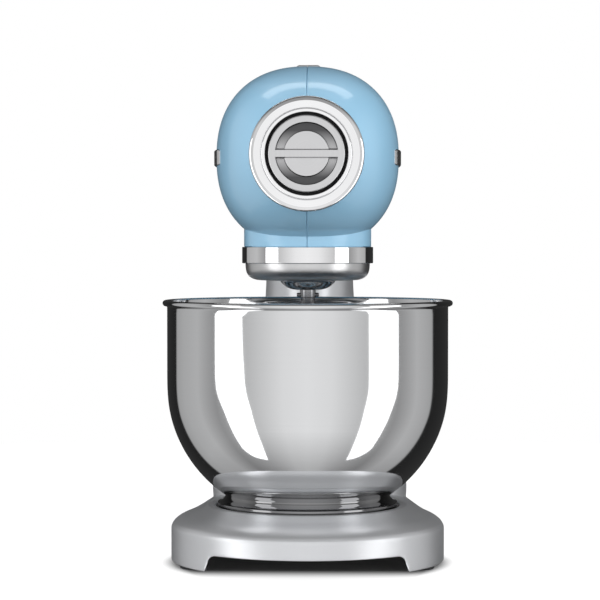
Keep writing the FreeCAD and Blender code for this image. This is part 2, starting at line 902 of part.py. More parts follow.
# Front hub: trim ring, socket, gasket and pull-off cover
ring_face_y = nose_face_y - S.ring_thickness
ring_blank = turned("ring_blank", [
    (S.ring_inner, ring_face_y + S.shell_wall / 3),
    (S.ring_face_radius, ring_face_y),
    (S.ring_shoulder, ring_face_y + S.ring_shoulder_drop, S.ring_edge, LEFT),
    (S.nose_radius, ring_face_y + S.ring_shoulder_drop + S.ring_edge),
    (S.nose_radius, nose_face_y),
    (S.ring_inner, nose_face_y),
], HEAD_AXIS, "Y")
ring_holes = []
ring_screws = []
for number, (x, z, angle) in enumerate(around(S.ring_screw_circle.value, 4, 45)):
    at = (x, 0, S.head_z + z)
    ring_holes.append(rod(f"ring_hole_{number}", S.ring_screw_shank, nose_face_y - S.ring_screw_bite,
                          nose_face_y, at, "Y"))
    ring_screws.append(screw(f"ring_screw_{number}", S.ring_screw_shank, S.ring_screw_head,
                             S.ring_screw_head_height, -(nose_face_y + S.shell_wall),
                             -(nose_face_y - S.ring_screw_bite), at, "-Y"))
node(cut("front_trim_ring", ring_blank, *ring_holes))
node(group("ring_screws", ring_screws))

node(turned("hub_socket", [
    (S.socket_bore, S.socket_face_y), (S.socket_outer, S.socket_face_y), (S.socket_outer, S.socket_back_y),
    (S.socket_hole, S.socket_back_y), (S.socket_hole, S.socket_floor_y), (S.socket_bore, S.socket_floor_y),
], HEAD_AXIS, "Y"))
node(tube("hub_gasket", S.gasket_bore, S.socket_bore - S.running_gap, S.gasket_face_y, S.socket_floor_y,
          HEAD_AXIS, "Y"))

cover_blank = turned("cover_blank", [
    (0, S.cover_face_y), (S.cover_radius - S.cover_edge, S.cover_face_y, S.cover_edge, LEFT),
    (S.cover_radius, S.cover_face_y + S.cover_edge), (S.cover_radius, S.cover_back_y),
    (S.cover_spigot, S.cover_back_y), (S.cover_spigot, S.cover_spigot_y),
    (S.cover_hollow, S.cover_spigot_y), (S.cover_hollow, S.cover_hollow_y), (0, S.cover_hollow_y),
], HEAD_AXIS, "Y")
groove = turned("grip_groove", [
    (0, S.cover_face_y - S.groove_depth), (S.groove_outer, S.cover_face_y - S.groove_depth),
    (S.groove_outer, S.cover_face_y + S.groove_depth), (S.groove_inner, S.cover_face_y + S.groove_depth),
    (S.groove_inner, S.cover_face_y + S.grip_field_depth), (0, S.cover_face_y + S.grip_field_depth),
], HEAD_AXIS, "Y")
grip = block("grip_bar", (-S.cover_radius, S.cover_radius),
             (S.cover_face_y - S.groove_depth, S.cover_back_y),
             (S.head_z - S.grip_half, S.head_z + S.grip_half))
node(cut("hub_cover", cover_blank, cut("grip_recess", groove, grip)))

# Skirt ring under the collar
node(turned("skirt_ring", [
    (S.skirt_bore, S.skirt_bottom), (S.skirt_radius, S.skirt_bottom), (S.skirt_radius, S.collar_bottom),
    (S.skirt_flange_bore, S.collar_bottom), (S.skirt_flange_bore, S.collar_bottom - S.skirt_flange),
    (S.skirt_bore, S.collar_bottom - S.skirt_flange),
], BOWL_AXIS))

# Planetary carrier: a dish with a centre boss and a tool boss
orbit = S.planet_module * (S.ring_teeth - S.planet_teeth) / 2
tool_y = S.bowl_y + orbit
TOOL_AXIS = (0, tool_y, 0)
carrier_inner = S.carrier_radius - S.carrier_rim
dish = turned("carrier_dish", [
    (0, S.carrier_bottom), (S.carrier_flat, S.carrier_bottom, S.carrier_curve, LEFT),
    (S.carrier_radius, S.carrier_shoulder), (S.carrier_radius, S.carrier_top),
    (carrier_inner, S.carrier_top), (carrier_inner, S.carrier_shoulder),
    (S.carrier_flat - S.carrier_rim, S.carrier_bottom + S.carrier_floor),
    (0, S.carrier_bottom + S.carrier_floor),
], BOWL_AXIS)
carrier_solid = fuse(
    "carrier_solid", dish,
    rod("carrier_centre_boss", S.carrier_boss, S.carrier_shaft_low, S.carrier_top, BOWL_AXIS),
    rod("carrier_tool_boss", S.tool_boss, S.carrier_shaft_low, S.tool_boss_top, TOOL_AXIS),
)
node(cut(
    "planet_carrier", carrier_solid,
    rod("carrier_shaft_hole", S.carrier_shaft_radius, S.carrier_shaft_low, S.head_z, BOWL_AXIS),
    rod("tool_bush_hole", S.tool_bush_radius, S.cap_low, S.head_z, TOOL_AXIS),
))
node(rod("carrier_shaft", S.carrier_shaft_radius, S.carrier_shaft_low, S.carrier_shaft_high, BOWL_AXIS))
node(tube("tool_bush", S.tool_radius + S.running_gap, S.tool_bush_radius, S.carrier_bottom, S.tool_boss_top,
          TOOL_AXIS))
cap_blank = turned("cap_blank", [
    (S.cap_bore, S.cap_low), (S.cap_low_radius, S.cap_low, S.cap_curve, LEFT),
    (S.cap_radius, S.carrier_bottom), (S.cap_radius, S.cap_top), (S.cap_bore, S.cap_top),
], TOOL_AXIS)
node(cut("tool_cap", cap_blank, dish))

# Tool shaft with its cross pin and planet gear
pin_at = (0, tool_y, S.tool_pin_z)
pin_space = rod("tool_pin_hole", S.tool_pin_radius, -S.tool_pin_half, S.tool_pin_half, pin_at, "X")
tool_bar = turned("tool_bar", [
    (0, S.tool_low), (S.tool_end_radius, S.tool_low), (S.tool_end_radius, S.tool_step),
    (S.tool_radius, S.tool_step), (S.tool_radius, S.tool_high), (0, S.tool_high),
], TOOL_AXIS)
node(cut("tool_shaft", tool_bar, pin_space))
node(rod("tool_pin", S.tool_pin_radius, -S.tool_pin_half, S.tool_pin_half, pin_at, "X"))
planet = spur_gear(S.planet_teeth, S.planet_module, S.planet_low.value, S.planet_high.value,
                   S.tool_radius.value)
node(computed("planet_gear", planet, TOOL_AXIS))
ring_pitch = (S.planet_module * S.ring_teeth / 2).value
ring_root = ring_pitch + DEDENDUM * S.planet_module.value
ring_tip = ring_pitch - STUB_ADDENDUM * S.planet_module.value
ring_teeth = tooth_ring(int(S.ring_teeth.value), S.planet_module.value, ring_root, ring_tip,
                        -S.tooth_slack.value)
ring_space = prism(ring_teeth, S.collar_bottom.value, S.plate_high.value)
ring_blank_shape = Part.makeCylinder(S.ring_gear_radius.value, (S.ring_gear_high - S.ring_gear_low).value,
                                     FreeCAD.Vector(0, 0, S.ring_gear_low.value))
node(computed("ring_gear", ring_blank_shape.cut(ring_space), BOWL_AXIS))

# Bevel pair under the main shaft, with its cone apex where the head axis crosses the bowl axis
APEX = (0, S.bowl_y, S.head_z)
crown = bevel_gear(S.crown_teeth, S.pinion_teeth, S.crown_back.value, S.crown_hub.value, S.crown_rim.value,
                   S.carrier_shaft_radius.value, 0)
node(computed("crown_gear", crown, APEX))
half_pinion_pitch = 180 / S.pinion_teeth.value
pinion_rim = S.pinion_back - S.bevel_face / 2
pinion = bevel_gear(S.pinion_teeth, S.crown_teeth, S.pinion_back.value, S.pinion_hub.value,
                    pinion_rim.value, S.main_radius.value, half_pinion_pitch)
node(computed("bevel_pinion", pinion, APEX, "-Y"))

# Main shaft, from the second gear stage to the drive socket of the front hub
socket_half = S.drive_square / 2
main_bar = fuse(
    "main_bar",
    rod("main_shank", S.main_radius, S.main_front, S.main_back, HEAD_AXIS, "Y"),
    rod("drive_head", S.drive_radius, S.drive_front, S.main_front, HEAD_AXIS, "Y"),
)
drive_hole = block("drive_square_hole", (-socket_half, socket_half),
                   (S.drive_front, S.drive_front + S.drive_depth),
                   (S.head_z - socket_half, S.head_z + socket_half))
node(cut("main_shaft", main_bar, drive_hole))


def spur_on(name, teeth, front, back, bore, at, phase=0):
    """Spur gear about Y between two Y stations, with a tooth turned by phase from +X towards +Z."""
    shape = spur_gear(teeth, S.spur_module, -back.value, -front.value, bore, phase)
    return computed(name, shape, at, "-Y")


stage_offset = S.spur_module * (S.motor_teeth + S.counter_teeth) / 2
COUNTER_AXIS = (0, 0, S.head_z + stage_offset)
node(spur_on("main_gear", S.main_teeth, S.second_stage_front, S.second_stage_back, S.main_radius.value,
             HEAD_AXIS))
counter_bar = rod("counter_bar", S.counter_radius, S.counter_front, S.counter_back, COUNTER_AXIS, "Y")
counter_pinion = spur_on("counter_pinion", S.counter_pinion_teeth, S.second_stage_front,
                         S.second_stage_back, S.counter_radius.value, COUNTER_AXIS,
                         180 / S.counter_pinion_teeth.value)
node(fuse("counter_shaft", counter_bar, counter_pinion))
node(spur_on("counter_gear", S.counter_teeth, S.first_stage_front, S.first_stage_back,
             S.counter_radius.value, COUNTER_AXIS))

# Motor: shaft with its pinion, core, commutator and fan turn; stator, brackets and brushes stay
motor_bar = rod("motor_bar", S.motor_shaft_radius, S.motor_shaft_front, S.motor_shaft_back, HEAD_AXIS, "Y")
motor_pinion = spur_on("motor_pinion", S.motor_teeth, S.first_stage_front, S.first_stage_back,
                       S.motor_shaft_radius.value, HEAD_AXIS, 180 / S.motor_teeth.value)
node(fuse("motor_shaft", motor_bar, motor_pinion))

rotor_slots = []
for number in range(int(S.rotor_slots.value)):
    slot = padded(f"rotor_slot_{number}", rectangle(-S.rotor_slot_half, S.rotor_slot_half,
                                                    S.rotor_radius - S.rotor_slot_depth,
                                                    S.rotor_radius + S.shell_wall),
                  S.rotor_front, S.rotor_back, HEAD_AXIS, "Y")
    rotor_slots.append(spun(slot, (0, 1, 0), 360 * number / S.rotor_slots.value))
rotor_blank = tube("rotor_blank", S.motor_shaft_radius, S.rotor_radius, S.rotor_front, S.rotor_back,
                   HEAD_AXIS, "Y")
node(cut("rotor_core", rotor_blank, *rotor_slots))
node(tube("commutator", S.motor_shaft_radius, S.commutator_radius, S.commutator_front, S.commutator_back,
          HEAD_AXIS, "Y"))

fan_pieces = [
    tube("fan_hub_tube", S.motor_shaft_radius, S.fan_hub, S.fan_front, S.fan_back, HEAD_AXIS, "Y"),
    tube("fan_disc", S.motor_shaft_radius, S.fan_radius, S.fan_front, S.fan_front + S.fan_plate,
         HEAD_AXIS, "Y"),
]
for number in range(int(S.fan_blades.value)):
    blade = padded(f"fan_blade_{number}", rectangle(-S.fan_blade_half, S.fan_blade_half,
                                                    S.fan_hub - S.fan_plate, S.fan_radius),
                   S.fan_front, S.fan_back, HEAD_AXIS, "Y")
    fan_pieces.append(spun(blade, (0, 1, 0), 360 * number / S.fan_blades.value))
node(fuse("cooling_fan", *fan_pieces))

node(group("motor_bearings", [
    tube("front_motor_bearing", S.motor_shaft_radius + S.running_gap, S.motor_bearing_radius,
         S.front_bracket_front, S.front_bracket_back, HEAD_AXIS, "Y"),
    tube("rear_motor_bearing", S.motor_shaft_radius + S.running_gap, S.motor_bearing_radius,
         S.rear_bracket_front, S.rear_bracket_back, HEAD_AXIS, "Y"),
]))
motor_screw_spots = [(x, z) for x, z, angle in around(S.motor_screw_circle.value, 2, 45)]


def screw_ways(name, front, back):
    """Through holes for the two long motor screws."""
    return [rod(f"{name}_{number}", S.motor_screw_radius, front, back, (x, 0, S.head_z + z), "Y")
            for number, (x, z) in enumerate(motor_screw_spots)]


front_bracket = tube("front_bracket_disc", S.motor_bearing_radius, S.bracket_radius, S.front_bracket_front,
                     S.front_bracket_back, HEAD_AXIS, "Y")
counter_way = rod("counter_way", S.counter_radius + S.running_gap, S.front_bracket_front,
                  S.front_bracket_back, COUNTER_AXIS, "Y")
node(cut("motor_front_bracket", front_bracket, counter_way,
         *screw_ways("front_bracket_way", S.front_bracket_front, S.front_bracket_back)))
rear_bracket = tube("rear_bracket_disc", S.motor_bearing_radius, S.bracket_radius, S.rear_bracket_front,
                    S.rear_bracket_back, HEAD_AXIS, "Y")
node(cut("motor_rear_bracket", rear_bracket,
         *screw_ways("rear_bracket_way", S.rear_bracket_front, S.rear_bracket_back)))
stator_blank = tube("stator_blank", S.stator_bore, S.stator_radius, S.stator_front, S.stator_back,
                    HEAD_AXIS, "Y")
node(cut("motor_stator", stator_blank, *screw_ways("stator_way", S.stator_front, S.stator_back)))
node(group("stator_windings", [
    tube("front_winding", S.winding_inner, S.winding_outer, S.stator_front - S.winding_length,
         S.stator_front, HEAD_AXIS, "Y"),
    tube("rear_winding", S.winding_inner, S.winding_outer, S.stator_back, S.stator_back + S.winding_length,
         HEAD_AXIS, "Y"),
]))
node(group("motor_screws", [
    screw(f"motor_screw_{number}", S.motor_screw_radius, S.motor_screw_head, S.motor_screw_head_height,
          -S.rear_bracket_back, -S.front_bracket_front, (x, 0, S.head_z + z), "-Y")
    for number, (x, z) in enumerate(motor_screw_spots)
]))

brushes = []
holders = []
for side, sign in (("left", -1), ("right", 1)):
    tip, end = sorted((sign * S.brush_tip, sign * S.brush_end), key=lambda size: size.value)
    near, far = sorted((sign * S.holder_tip, sign * S.holder_end), key=lambda size: size.value)
    channel = (S.head_z - S.brush_half, S.head_z + S.brush_half)
    brushes.append(block(f"{side}_brush", (tip, end), (S.brush_front, S.brush_back), channel))
    holder = block(f"{side}_holder_block", (near, far), (S.holder_front, S.rear_bracket_front),
                   (S.head_z - S.holder_half, S.head_z + S.holder_half))
    way = block(f"{side}_brush_way", (near, far), (S.brush_front, S.brush_back), channel)
    holders.append(cut(f"{side}_holder", holder, way))
node(group("carbon_brushes", brushes))
node(group("brush_holders", holders))

# Gearbox frame: bearing plate, walls, webs, rails and spine with the hinge lug, cast in one
LUG_TOP = S.spine_low + S.shell_wall
frame_middle = [
    rod("bearing_plate", S.plate_radius, S.plate_low, S.plate_high, BOWL_AXIS),
    rod("bearing_boss", S.boss_radius, S.plate_low, S.boss_high, BOWL_AXIS),
    rod("front_wall", S.front_wall_radius, S.front_wall_front, S.front_wall_back, HEAD_AXIS, "Y"),
    rod("front_housing", S.housing_radius, S.socket_back_y, S.front_wall_back, HEAD_AXIS, "Y"),
    rod("rear_wall", S.rear_wall_radius, S.rear_wall_front, S.rear_wall_back, HEAD_AXIS, "Y"),
    block("spine", (-S.spine_half, S.spine_half), (S.rear_wall_front, S.spine_back),
          (S.spine_low, S.spine_high)),
    block("hinge_arm", (-S.lug_half, S.lug_half), (S.hinge_y - S.arm_half, S.hinge_y + S.arm_half),
          (S.hinge_z, LUG_TOP)),
    rod("hinge_lug", S.lug_radius, -S.lug_half, S.lug_half, HINGE, "X"),
    block("lock_tongue", (-S.tongue_half, S.tongue_half), (S.tongue_front, S.tongue_back),
          (S.tongue_low, S.hinge_z)),
]
frame_sides = []
frame_holes = [
    rod("boss_way", S.boss_bore, S.plate_low, S.boss_high, BOWL_AXIS),
    rod("lower_bearing_seat", S.carrier_bearing_radius, S.lower_bearing_low, S.lower_bearing_high,
        BOWL_AXIS),
    rod("upper_bearing_seat", S.carrier_bearing_radius, S.upper_bearing_low, S.boss_high, BOWL_AXIS),
    rod("main_way", S.main_radius + S.shell_wall, S.socket_back_y, S.front_wall_back, HEAD_AXIS, "Y"),
    rod("front_bearing_seat", S.main_bearing_radius, S.socket_back_y, S.front_bearing_back, HEAD_AXIS, "Y"),
    rod("rear_bearing_seat", S.main_bearing_radius, S.rear_wall_front, S.rear_wall_back, HEAD_AXIS, "Y"),
    rod("counter_seat", S.counter_radius + S.running_gap, S.rear_wall_front, S.rear_wall_back,
        COUNTER_AXIS, "Y"),
    rod("pin_way", S.hinge_pin_radius + S.running_gap, -S.lug_half, S.lug_half, HINGE, "X"),
    rod("left_bush_seat", S.bush_radius, -S.lug_half, -S.bush_inner_x, HINGE, "X"),
    rod("right_bush_seat", S.bush_radius, S.bush_inner_x, S.lug_half, HINGE, "X"),
]
for side, axis, sign in (("left", "-X", -1), ("right", "X", 1)):
    near, far = sorted((sign * S.web_inner, sign * S.web_outer), key=lambda size: size.value)
    inside, outside = sorted((sign * S.foot_block_inner, sign * S.foot_block_outer),
                             key=lambda size: size.value)
    frame_sides.append(block(f"{side}_web", (near, far), (S.front_wall_front, S.rear_wall_back),
                              (S.web_low, S.web_high)))
    frame_sides.append(block(f"{side}_rail", (near, far), (S.rear_wall_front, S.rail_back),
                              (S.rail_low, S.rail_high)))
    frame_sides.append(block(f"{side}_foot_block", (inside, outside),
                              (S.bowl_y - S.foot_block_half, S.bowl_y + S.foot_block_half),
                              (S.plate_low, S.foot_block_high)))
    for number, (y, curve) in enumerate(shell_screw_spots):
        at = (0, y, S.shell_screw_z)
        frame_sides.append(rod(f"{side}_post_{number}", S.post_radius, S.web_inner,
                                hull_radius(y, curve) - S.shell_wall - S.post_gap, at, axis))
        frame_holes.append(rod(f"{side}_post_hole_{number}", S.shell_screw_shank, S.shell_screw_end,
                               S.head_radius, at, axis))
frame_casting = fuse("frame_casting", fuse("frame_middle", *frame_middle), *frame_sides)
node(cut("gearbox_frame", frame_casting, *frame_holes))

node(group("carrier_bearings", [
    tube("lower_carrier_bearing", S.carrier_shaft_radius + S.running_gap, S.carrier_bearing_radius,
         S.lower_bearing_low, S.lower_bearing_high, BOWL_AXIS),
    tube("upper_carrier_bearing", S.carrier_shaft_radius + S.running_gap, S.carrier_bearing_radius,
         S.upper_bearing_low, S.boss_high, BOWL_AXIS),
]))
node(group("main_bearings", [
    tube("front_main_bearing", S.main_radius + S.running_gap, S.main_bearing_radius, S.front_bearing_front,
         S.front_bearing_back, HEAD_AXIS, "Y"),
    tube("rear_main_bearing", S.main_radius + S.running_gap, S.main_bearing_radius, S.rear_wall_front,
         S.rear_wall_back, HEAD_AXIS, "Y"),
]))
node(group("hinge_bushes", [
    tube("left_bush", S.hinge_pin_radius + S.running_gap, S.bush_radius, -S.lug_half, -S.bush_inner_x,
         HINGE, "X"),
    tube("right_bush", S.hinge_pin_radius + S.running_gap, S.bush_radius, S.bush_inner_x, S.lug_half,
         HINGE, "X"),
]))

# Control board with heat sink and capacitor
node(fuse(
    "control_board",
    block("board_sheet", (-S.board_half, S.board_half), (S.board_front, S.board_back),
          (S.spine_high, S.board_top)),
    block("heat_sink", (-S.heatsink_half, S.heatsink_half), (S.board_back, S.heatsink_back),
          (S.heatsink_low, S.heatsink_high)),
    rod("capacitor", S.capacitor_radius, S.board_back, S.capacitor_back,
        (S.capacitor_x, 0, S.capacitor_z), "Y"),
))

# Speed lever with its slider, and the slide potentiometer under the slot
knob = leaning("lever_knob", "XZ_Plane", [
    (-S.lever_half_width, S.lever_lift), (S.lever_half_width, S.lever_lift),
    (S.lever_half_width, S.lever_shoulder, S.lever_curve, LEFT), (S.lever_crown, S.lever_height),
    (-S.lever_crown, S.lever_height, S.lever_curve, LEFT), (-S.lever_half_width, S.lever_shoulder),
], 2 * S.lever_half_length)
stem = leaning("lever_stem", "YZ_Plane", rectangle(S.stem_low, S.lever_shoulder, -S.stem_half_length,
                                                   S.stem_half_length), 2 * S.stem_half_width)
slider = leaning("lever_slider", "YZ_Plane",
                 rectangle(S.slider_low, S.stem_low, -S.slider_half, S.slider_half), 2 * S.slider_half)
node(fuse("speed_lever", knob, stem, slider))
node(leaning("speed_potentiometer", "YZ_Plane",
             rectangle(S.pot_low, S.pot_high, S.pot_front - S.lever_y, S.pot_back - S.lever_y),
             2 * S.pot_half))

# Bowl: rolled rim, straight wall, round bend and flat floor
floor_reach = S.bowl_bend_z - S.bowl_floor_z
bend_centre = S.bowl_radius - S.bowl_bend
inner_bend = S.bowl_bend - S.bowl_wall
inner_reach = floor_reach - S.bowl_wall
rim_low = S.rim_top - S.rim_height
node(turned("bowl", [
    (0, S.bowl_floor_z),
    (bend_centre + root(S.bowl_bend * S.bowl_bend - floor_reach * floor_reach), S.bowl_floor_z,
     S.bowl_bend, LEFT),
    (S.bowl_radius, S.bowl_bend_z), (S.bowl_radius, rim_low), (S.rim_radius, rim_low),
    (S.rim_radius, S.rim_top), (S.bowl_radius - S.bowl_wall, S.rim_top),
    (S.bowl_radius - S.bowl_wall, S.bowl_bend_z, inner_bend, RIGHT),
    (bend_centre + root(inner_bend * inner_bend - inner_reach * inner_reach), S.bowl_floor_z + S.bowl_wall),
    (0, S.bowl_floor_z + S.bowl_wall),
], BOWL_AXIS))

# Bowl foot with bayonet tabs that turn under the seat's lugs
lug_angles = [angle for x, y, angle in around(1, int(S.lug_count.value), 90)]
foot_ring = turned("foot_ring", [
    (S.foot_bore, S.foot_bottom), (S.foot_radius - S.foot_edge, S.foot_bottom),
    (S.foot_radius, S.foot_bottom + S.foot_edge), (S.foot_radius, S.foot_lip_z, S.foot_curve, RIGHT),
    (S.foot_neck, S.bowl_floor_z), (S.foot_bore, S.bowl_floor_z),
], BOWL_AXIS)
tab_slices = [wedge(f"tab_slice_{number}", S.foot_bore + S.foot_edge, S.tab_low, S.tab_high,
                    S.tab_half_angle, angle, BOWL_AXIS) for number, angle in enumerate(lug_angles)]
tab_core = rod("tab_core", S.tab_inner, S.tab_low, S.tab_high, BOWL_AXIS)
node(fuse("bowl_foot", foot_ring, cut("foot_tabs", fuse("tab_discs", *tab_slices), tab_core)))

# Bowl seat plate in the top of the base
seat_plate = rod("seat_disc", S.seat_radius, S.seat_low, S.seat_high, BOWL_AXIS)
seat_boss = tube("seat_ring", S.seat_boss_bore, S.seat_boss, S.seat_low, S.seat_boss_high, BOWL_AXIS)
seat_slices = [wedge(f"lug_slice_{number}", S.seat_lug_radius, S.seat_lug_low, S.seat_boss_high,
                     S.seat_lug_half_angle, angle, BOWL_AXIS) for number, angle in enumerate(lug_angles)]
lug_core = rod("lug_core", S.seat_boss_bore, S.seat_lug_low, S.seat_boss_high, BOWL_AXIS)
seat_screw_spots = [(x, S.bowl_y + y, 0)
                    for x, y, angle in around(S.seat_screw_circle.value, int(S.lug_count.value), 30)]
seat_holes = [rod(f"seat_hole_{number}", S.seat_screw_shank, S.seat_low, S.seat_high, at)
              for number, at in enumerate(seat_screw_spots)]
node(cut("bowl_seat_plate", fuse("seat_solid", seat_plate, seat_boss,
                                 cut("seat_lugs", fuse("lug_discs", *seat_slices), lug_core)), *seat_holes))
seat_screws = []
for number, (x, y, z) in enumerate(seat_screw_spots):
    seat_screws.append(turned(f"seat_screw_{number}", [
        (0, S.seat_screw_low), (S.seat_screw_shank, S.seat_screw_low), (S.seat_screw_shank, S.seat_high),
        (S.seat_screw_head, S.seat_high), (S.seat_screw_head, S.seat_high + S.seat_screw_head_height),
        (0, S.seat_high + S.seat_screw_head_height),
    ], (x, y, 0)))
node(group("seat_plate_screws", seat_screws))


# Base casting: a hull of the front circle and the rear circle, domed on top and hollow below
def footprint(inset, rear_inset=None):
    front = S.base_front_radius - inset
    rear = S.base_rear_radius - (rear_inset or inset)
    lean = (front - rear) / (S.base_rear_y - S.bowl_y)
    flat = root(1 - lean * lean)
    front_y = S.bowl_y + front * lean
    rear_y = S.base_rear_y + rear * lean
    return [
        (front * flat, front_y), (rear * flat, rear_y, rear, LEFT), (-rear * flat, rear_y),
        (-front * flat, front_y, front, LEFT), (0, S.bowl_y - front, front, LEFT),
    ]


dome_rings = []
for section in DOME_SECTIONS:
    ring = DOC.addObject("Sketcher::SketchObject", f"dome_{section}")
    draw(ring, footprint(getattr(S, f"dome_{section}_inset"), getattr(S, f"dome_{section}_rear_inset")))
    place(ring, (0, 0, getattr(S, f"dome_{section}_z")))
    dome_rings.append(ring)
dome = DOC.addObject("Part::Loft", "base_dome")
dome.Sections = dome_rings
dome.Solid = True
base_wall = padded("base_wall_block", footprint(as_size(0)), S.base_bottom, S.dome_crease_z)
base_block = fuse("base_block", base_wall, dome)
hollow = fuse(
    "base_hollow",
    padded("base_hollow_low", footprint(S.base_wall), S.base_bottom, S.base_hollow_top),
    padded("base_hollow_high", footprint(S.base_roof_inset, S.base_roof_rear_inset), S.base_hollow_top,
           S.base_roof),
)
pad_spots = [(sign * x, y, 0) for x, y in ((S.pad_front_x, S.pad_front_y), (S.pad_rear_x, S.pad_rear_y))
             for sign in (-1, 1)]
post_spots = [(sign * S.post_x, y, 0) for y in (S.post_front_y, S.post_rear_y) for sign in (-1, 1)]
inner_posts = [rod(f"foot_pad_{number}", S.pad_radius, S.base_bottom, S.base_hollow_top, at)
               for number, at in enumerate(pad_spots)]
inner_posts += [rod(f"cover_post_{number}", S.cover_post_radius, S.cover_high, S.base_roof, at)
                for number, at in enumerate(post_spots)]
arch = padded("front_arch", [
    (-S.arch_half, 0), (S.arch_half, 0), (S.arch_shoulder, S.arch_shoulder_z, S.arch_curve, LEFT),
    (S.arch_crown, S.arch_top), (-S.arch_crown, S.arch_top, S.arch_curve, LEFT),
    (-S.arch_shoulder, S.arch_shoulder_z),
], -S.arch_back, S.rear_y, ORIGIN, "-Y")
bolt_spots = [(sx * S.column_bolt_x, S.base_rear_y + sy * S.column_bolt_y, 0)
              for sy in (-1, 1) for sx in (-1, 1)]
base_holes = [arch, rod("seat_recess_space", S.seat_recess, S.seat_low, S.bowl_floor_z, BOWL_AXIS),
              rod("inlet_way", S.inlet_neck, S.inlet_front, S.inlet_back, (0, 0, S.inlet_z), "Y")]
for number, at in enumerate(pad_spots):
    base_holes.append(rod(f"rubber_hole_{number}", S.rubber_stem, S.base_bottom, S.rubber_stem_top, at))
for number, at in enumerate(post_spots):
    base_holes.append(rod(f"cover_hole_{number}", S.cover_screw_shank, S.cover_high, S.cover_screw_top, at))
for number, at in enumerate(bolt_spots):
    base_holes.append(rod(f"bolt_hole_{number}", S.column_bolt_shank, S.base_hollow_top, S.bowl_floor_z,
                          at))
for number, at in enumerate(seat_screw_spots):
    base_holes.append(rod(f"seat_screw_hole_{number}", S.seat_screw_shank, S.seat_screw_low, S.seat_low,
                          at))
base_shell = fuse("base_shell", cut("base_hollowed", base_block, hollow), *inner_posts)
node(cut("base_casting", base_shell, *base_holes))

# Bottom cover, its screws, the rubber feet, the cord inlet and the terminal block
cover_notches = [rod(f"cover_notch_{number}", S.cover_pad_gap, S.cover_low, S.cover_high, at)
                 for number, at in enumerate(pad_spots)]
cover_holes = [rod(f"cover_way_{number}", S.cover_screw_shank, S.cover_low, S.cover_high, at)
               for number, at in enumerate(post_spots)]
node(cut("base_bottom_cover", padded("cover_sheet", footprint(S.cover_inset), S.cover_low, S.cover_high),
         *cover_notches, *cover_holes))
node(group("bottom_cover_screws", [
    screw(f"cover_screw_{number}", S.cover_screw_shank, S.cover_screw_head, S.cover_screw_head_height,
          S.cover_low, S.cover_screw_top, at, "Z") for number, at in enumerate(post_spots)
]))
node(group("rubber_feet", [
    turned(f"rubber_foot_{number}", [
        (0, 0), (S.rubber_edge, 0), (S.rubber_radius, S.rubber_step), (S.rubber_radius, S.base_bottom),
        (S.rubber_stem, S.base_bottom), (S.rubber_stem, S.rubber_stem_top), (0, S.rubber_stem_top),
    ], at) for number, at in enumerate(pad_spots)
]))
node(turned("cord_inlet_bush", [
    (S.inlet_bore, S.inlet_front), (S.inlet_neck, S.inlet_front), (S.inlet_neck, S.inlet_collar),
    (S.inlet_radius, S.inlet_collar), (S.inlet_radius, S.inlet_back), (S.inlet_bore, S.inlet_back),
], (0, 0, S.inlet_z), "Y"))
node(block("terminal_block", (-S.terminal_half, S.terminal_half), (S.terminal_front, S.terminal_back),
           (S.cover_high, S.terminal_high)))


# Column: a lofted casting between the base and the hinge, hollow, with a saddle that follows the head
def column_loft(name, inset, sections):
    rings = []
    for section in sections:
        ring = DOC.addObject("Part::Ellipse", f"{name}_{section}")
        bind(ring, MajorRadius=getattr(S, f"column_{section}_half_depth") - inset,
             MinorRadius=getattr(S, f"column_{section}_half_width") - inset)
        place(ring, (0, getattr(S, f"column_{section}_middle"), getattr(S, f"column_{section}_z")))
        rings.append(spun(ring, (0, 0, 1), 90))
    loft = DOC.addObject("Part::Loft", name)
    loft.Sections = rings
    loft.Solid = True
    return loft


column_posts = [rod(f"column_post_{number}", S.column_post_radius, S.column_foot_z, S.column_post_top, at)
                for number, at in enumerate(bolt_spots)]
column_hollow = column_loft("column_inside", S.column_wall, ("foot", "ankle", "shin", "knee", "waist"))
column_outside = column_loft("column_outside", as_size(0), COLUMN_SECTIONS)
column_cast = fuse("column_cast", cut("column_hollowed", column_outside, column_hollow), *column_posts)
resting_head = hull("resting_head_space", S.column_head_gap, nose_face_y)
raised_head = hull("raised_head_space", S.column_head_gap, nose_face_y)
raised_head.setExpression("Placement.Base.z", None)
hinge_point = FreeCAD.Vector(0, S.hinge_y.value, S.hinge_z.value)
tilt_turn = FreeCAD.Rotation(FreeCAD.Vector(1, 0, 0), -S.tilt_limit.value)
tilt = FreeCAD.Placement(FreeCAD.Vector(), tilt_turn, hinge_point)
raised_head.Placement = tilt.multiply(raised_head.Placement)
pocket_half = S.lug_slot_half
column_holes = [
    block("lug_pocket", (-pocket_half, pocket_half), (S.lug_pocket_front, S.lug_pocket_back),
          (S.lug_pocket_low, S.pocket_top)),
    block("arm_pocket", (-pocket_half, pocket_half), (S.hinge_y, S.arm_pocket_back),
          (S.arm_pocket_low, S.pocket_top)),
    block("tongue_pocket", (-S.tongue_pocket_half, S.tongue_pocket_half),
          (S.tongue_pocket_front, S.tongue_pocket_back), (S.tongue_pocket_low, S.hinge_z)),
    rod("hinge_pin_hole", S.hinge_pin_radius, -S.head_radius, S.head_radius, HINGE, "X"),
    rod("button_well", S.button_bore, S.button_pocket_y, S.rear_y, (0, 0, S.button_z), "Y"),
    rod("lock_bolt_way", S.bolt_radius + S.running_gap, S.tongue_pocket_front, S.button_pocket_y,
        (0, 0, S.button_z), "Y"),
]
for number, at in enumerate(bolt_spots):
    column_holes.append(rod(f"column_thread_{number}", S.column_bolt_shank, S.column_foot_z,
                            S.column_bolt_top, at))
node(cut("column", column_cast, base_block, resting_head, raised_head, *column_holes))
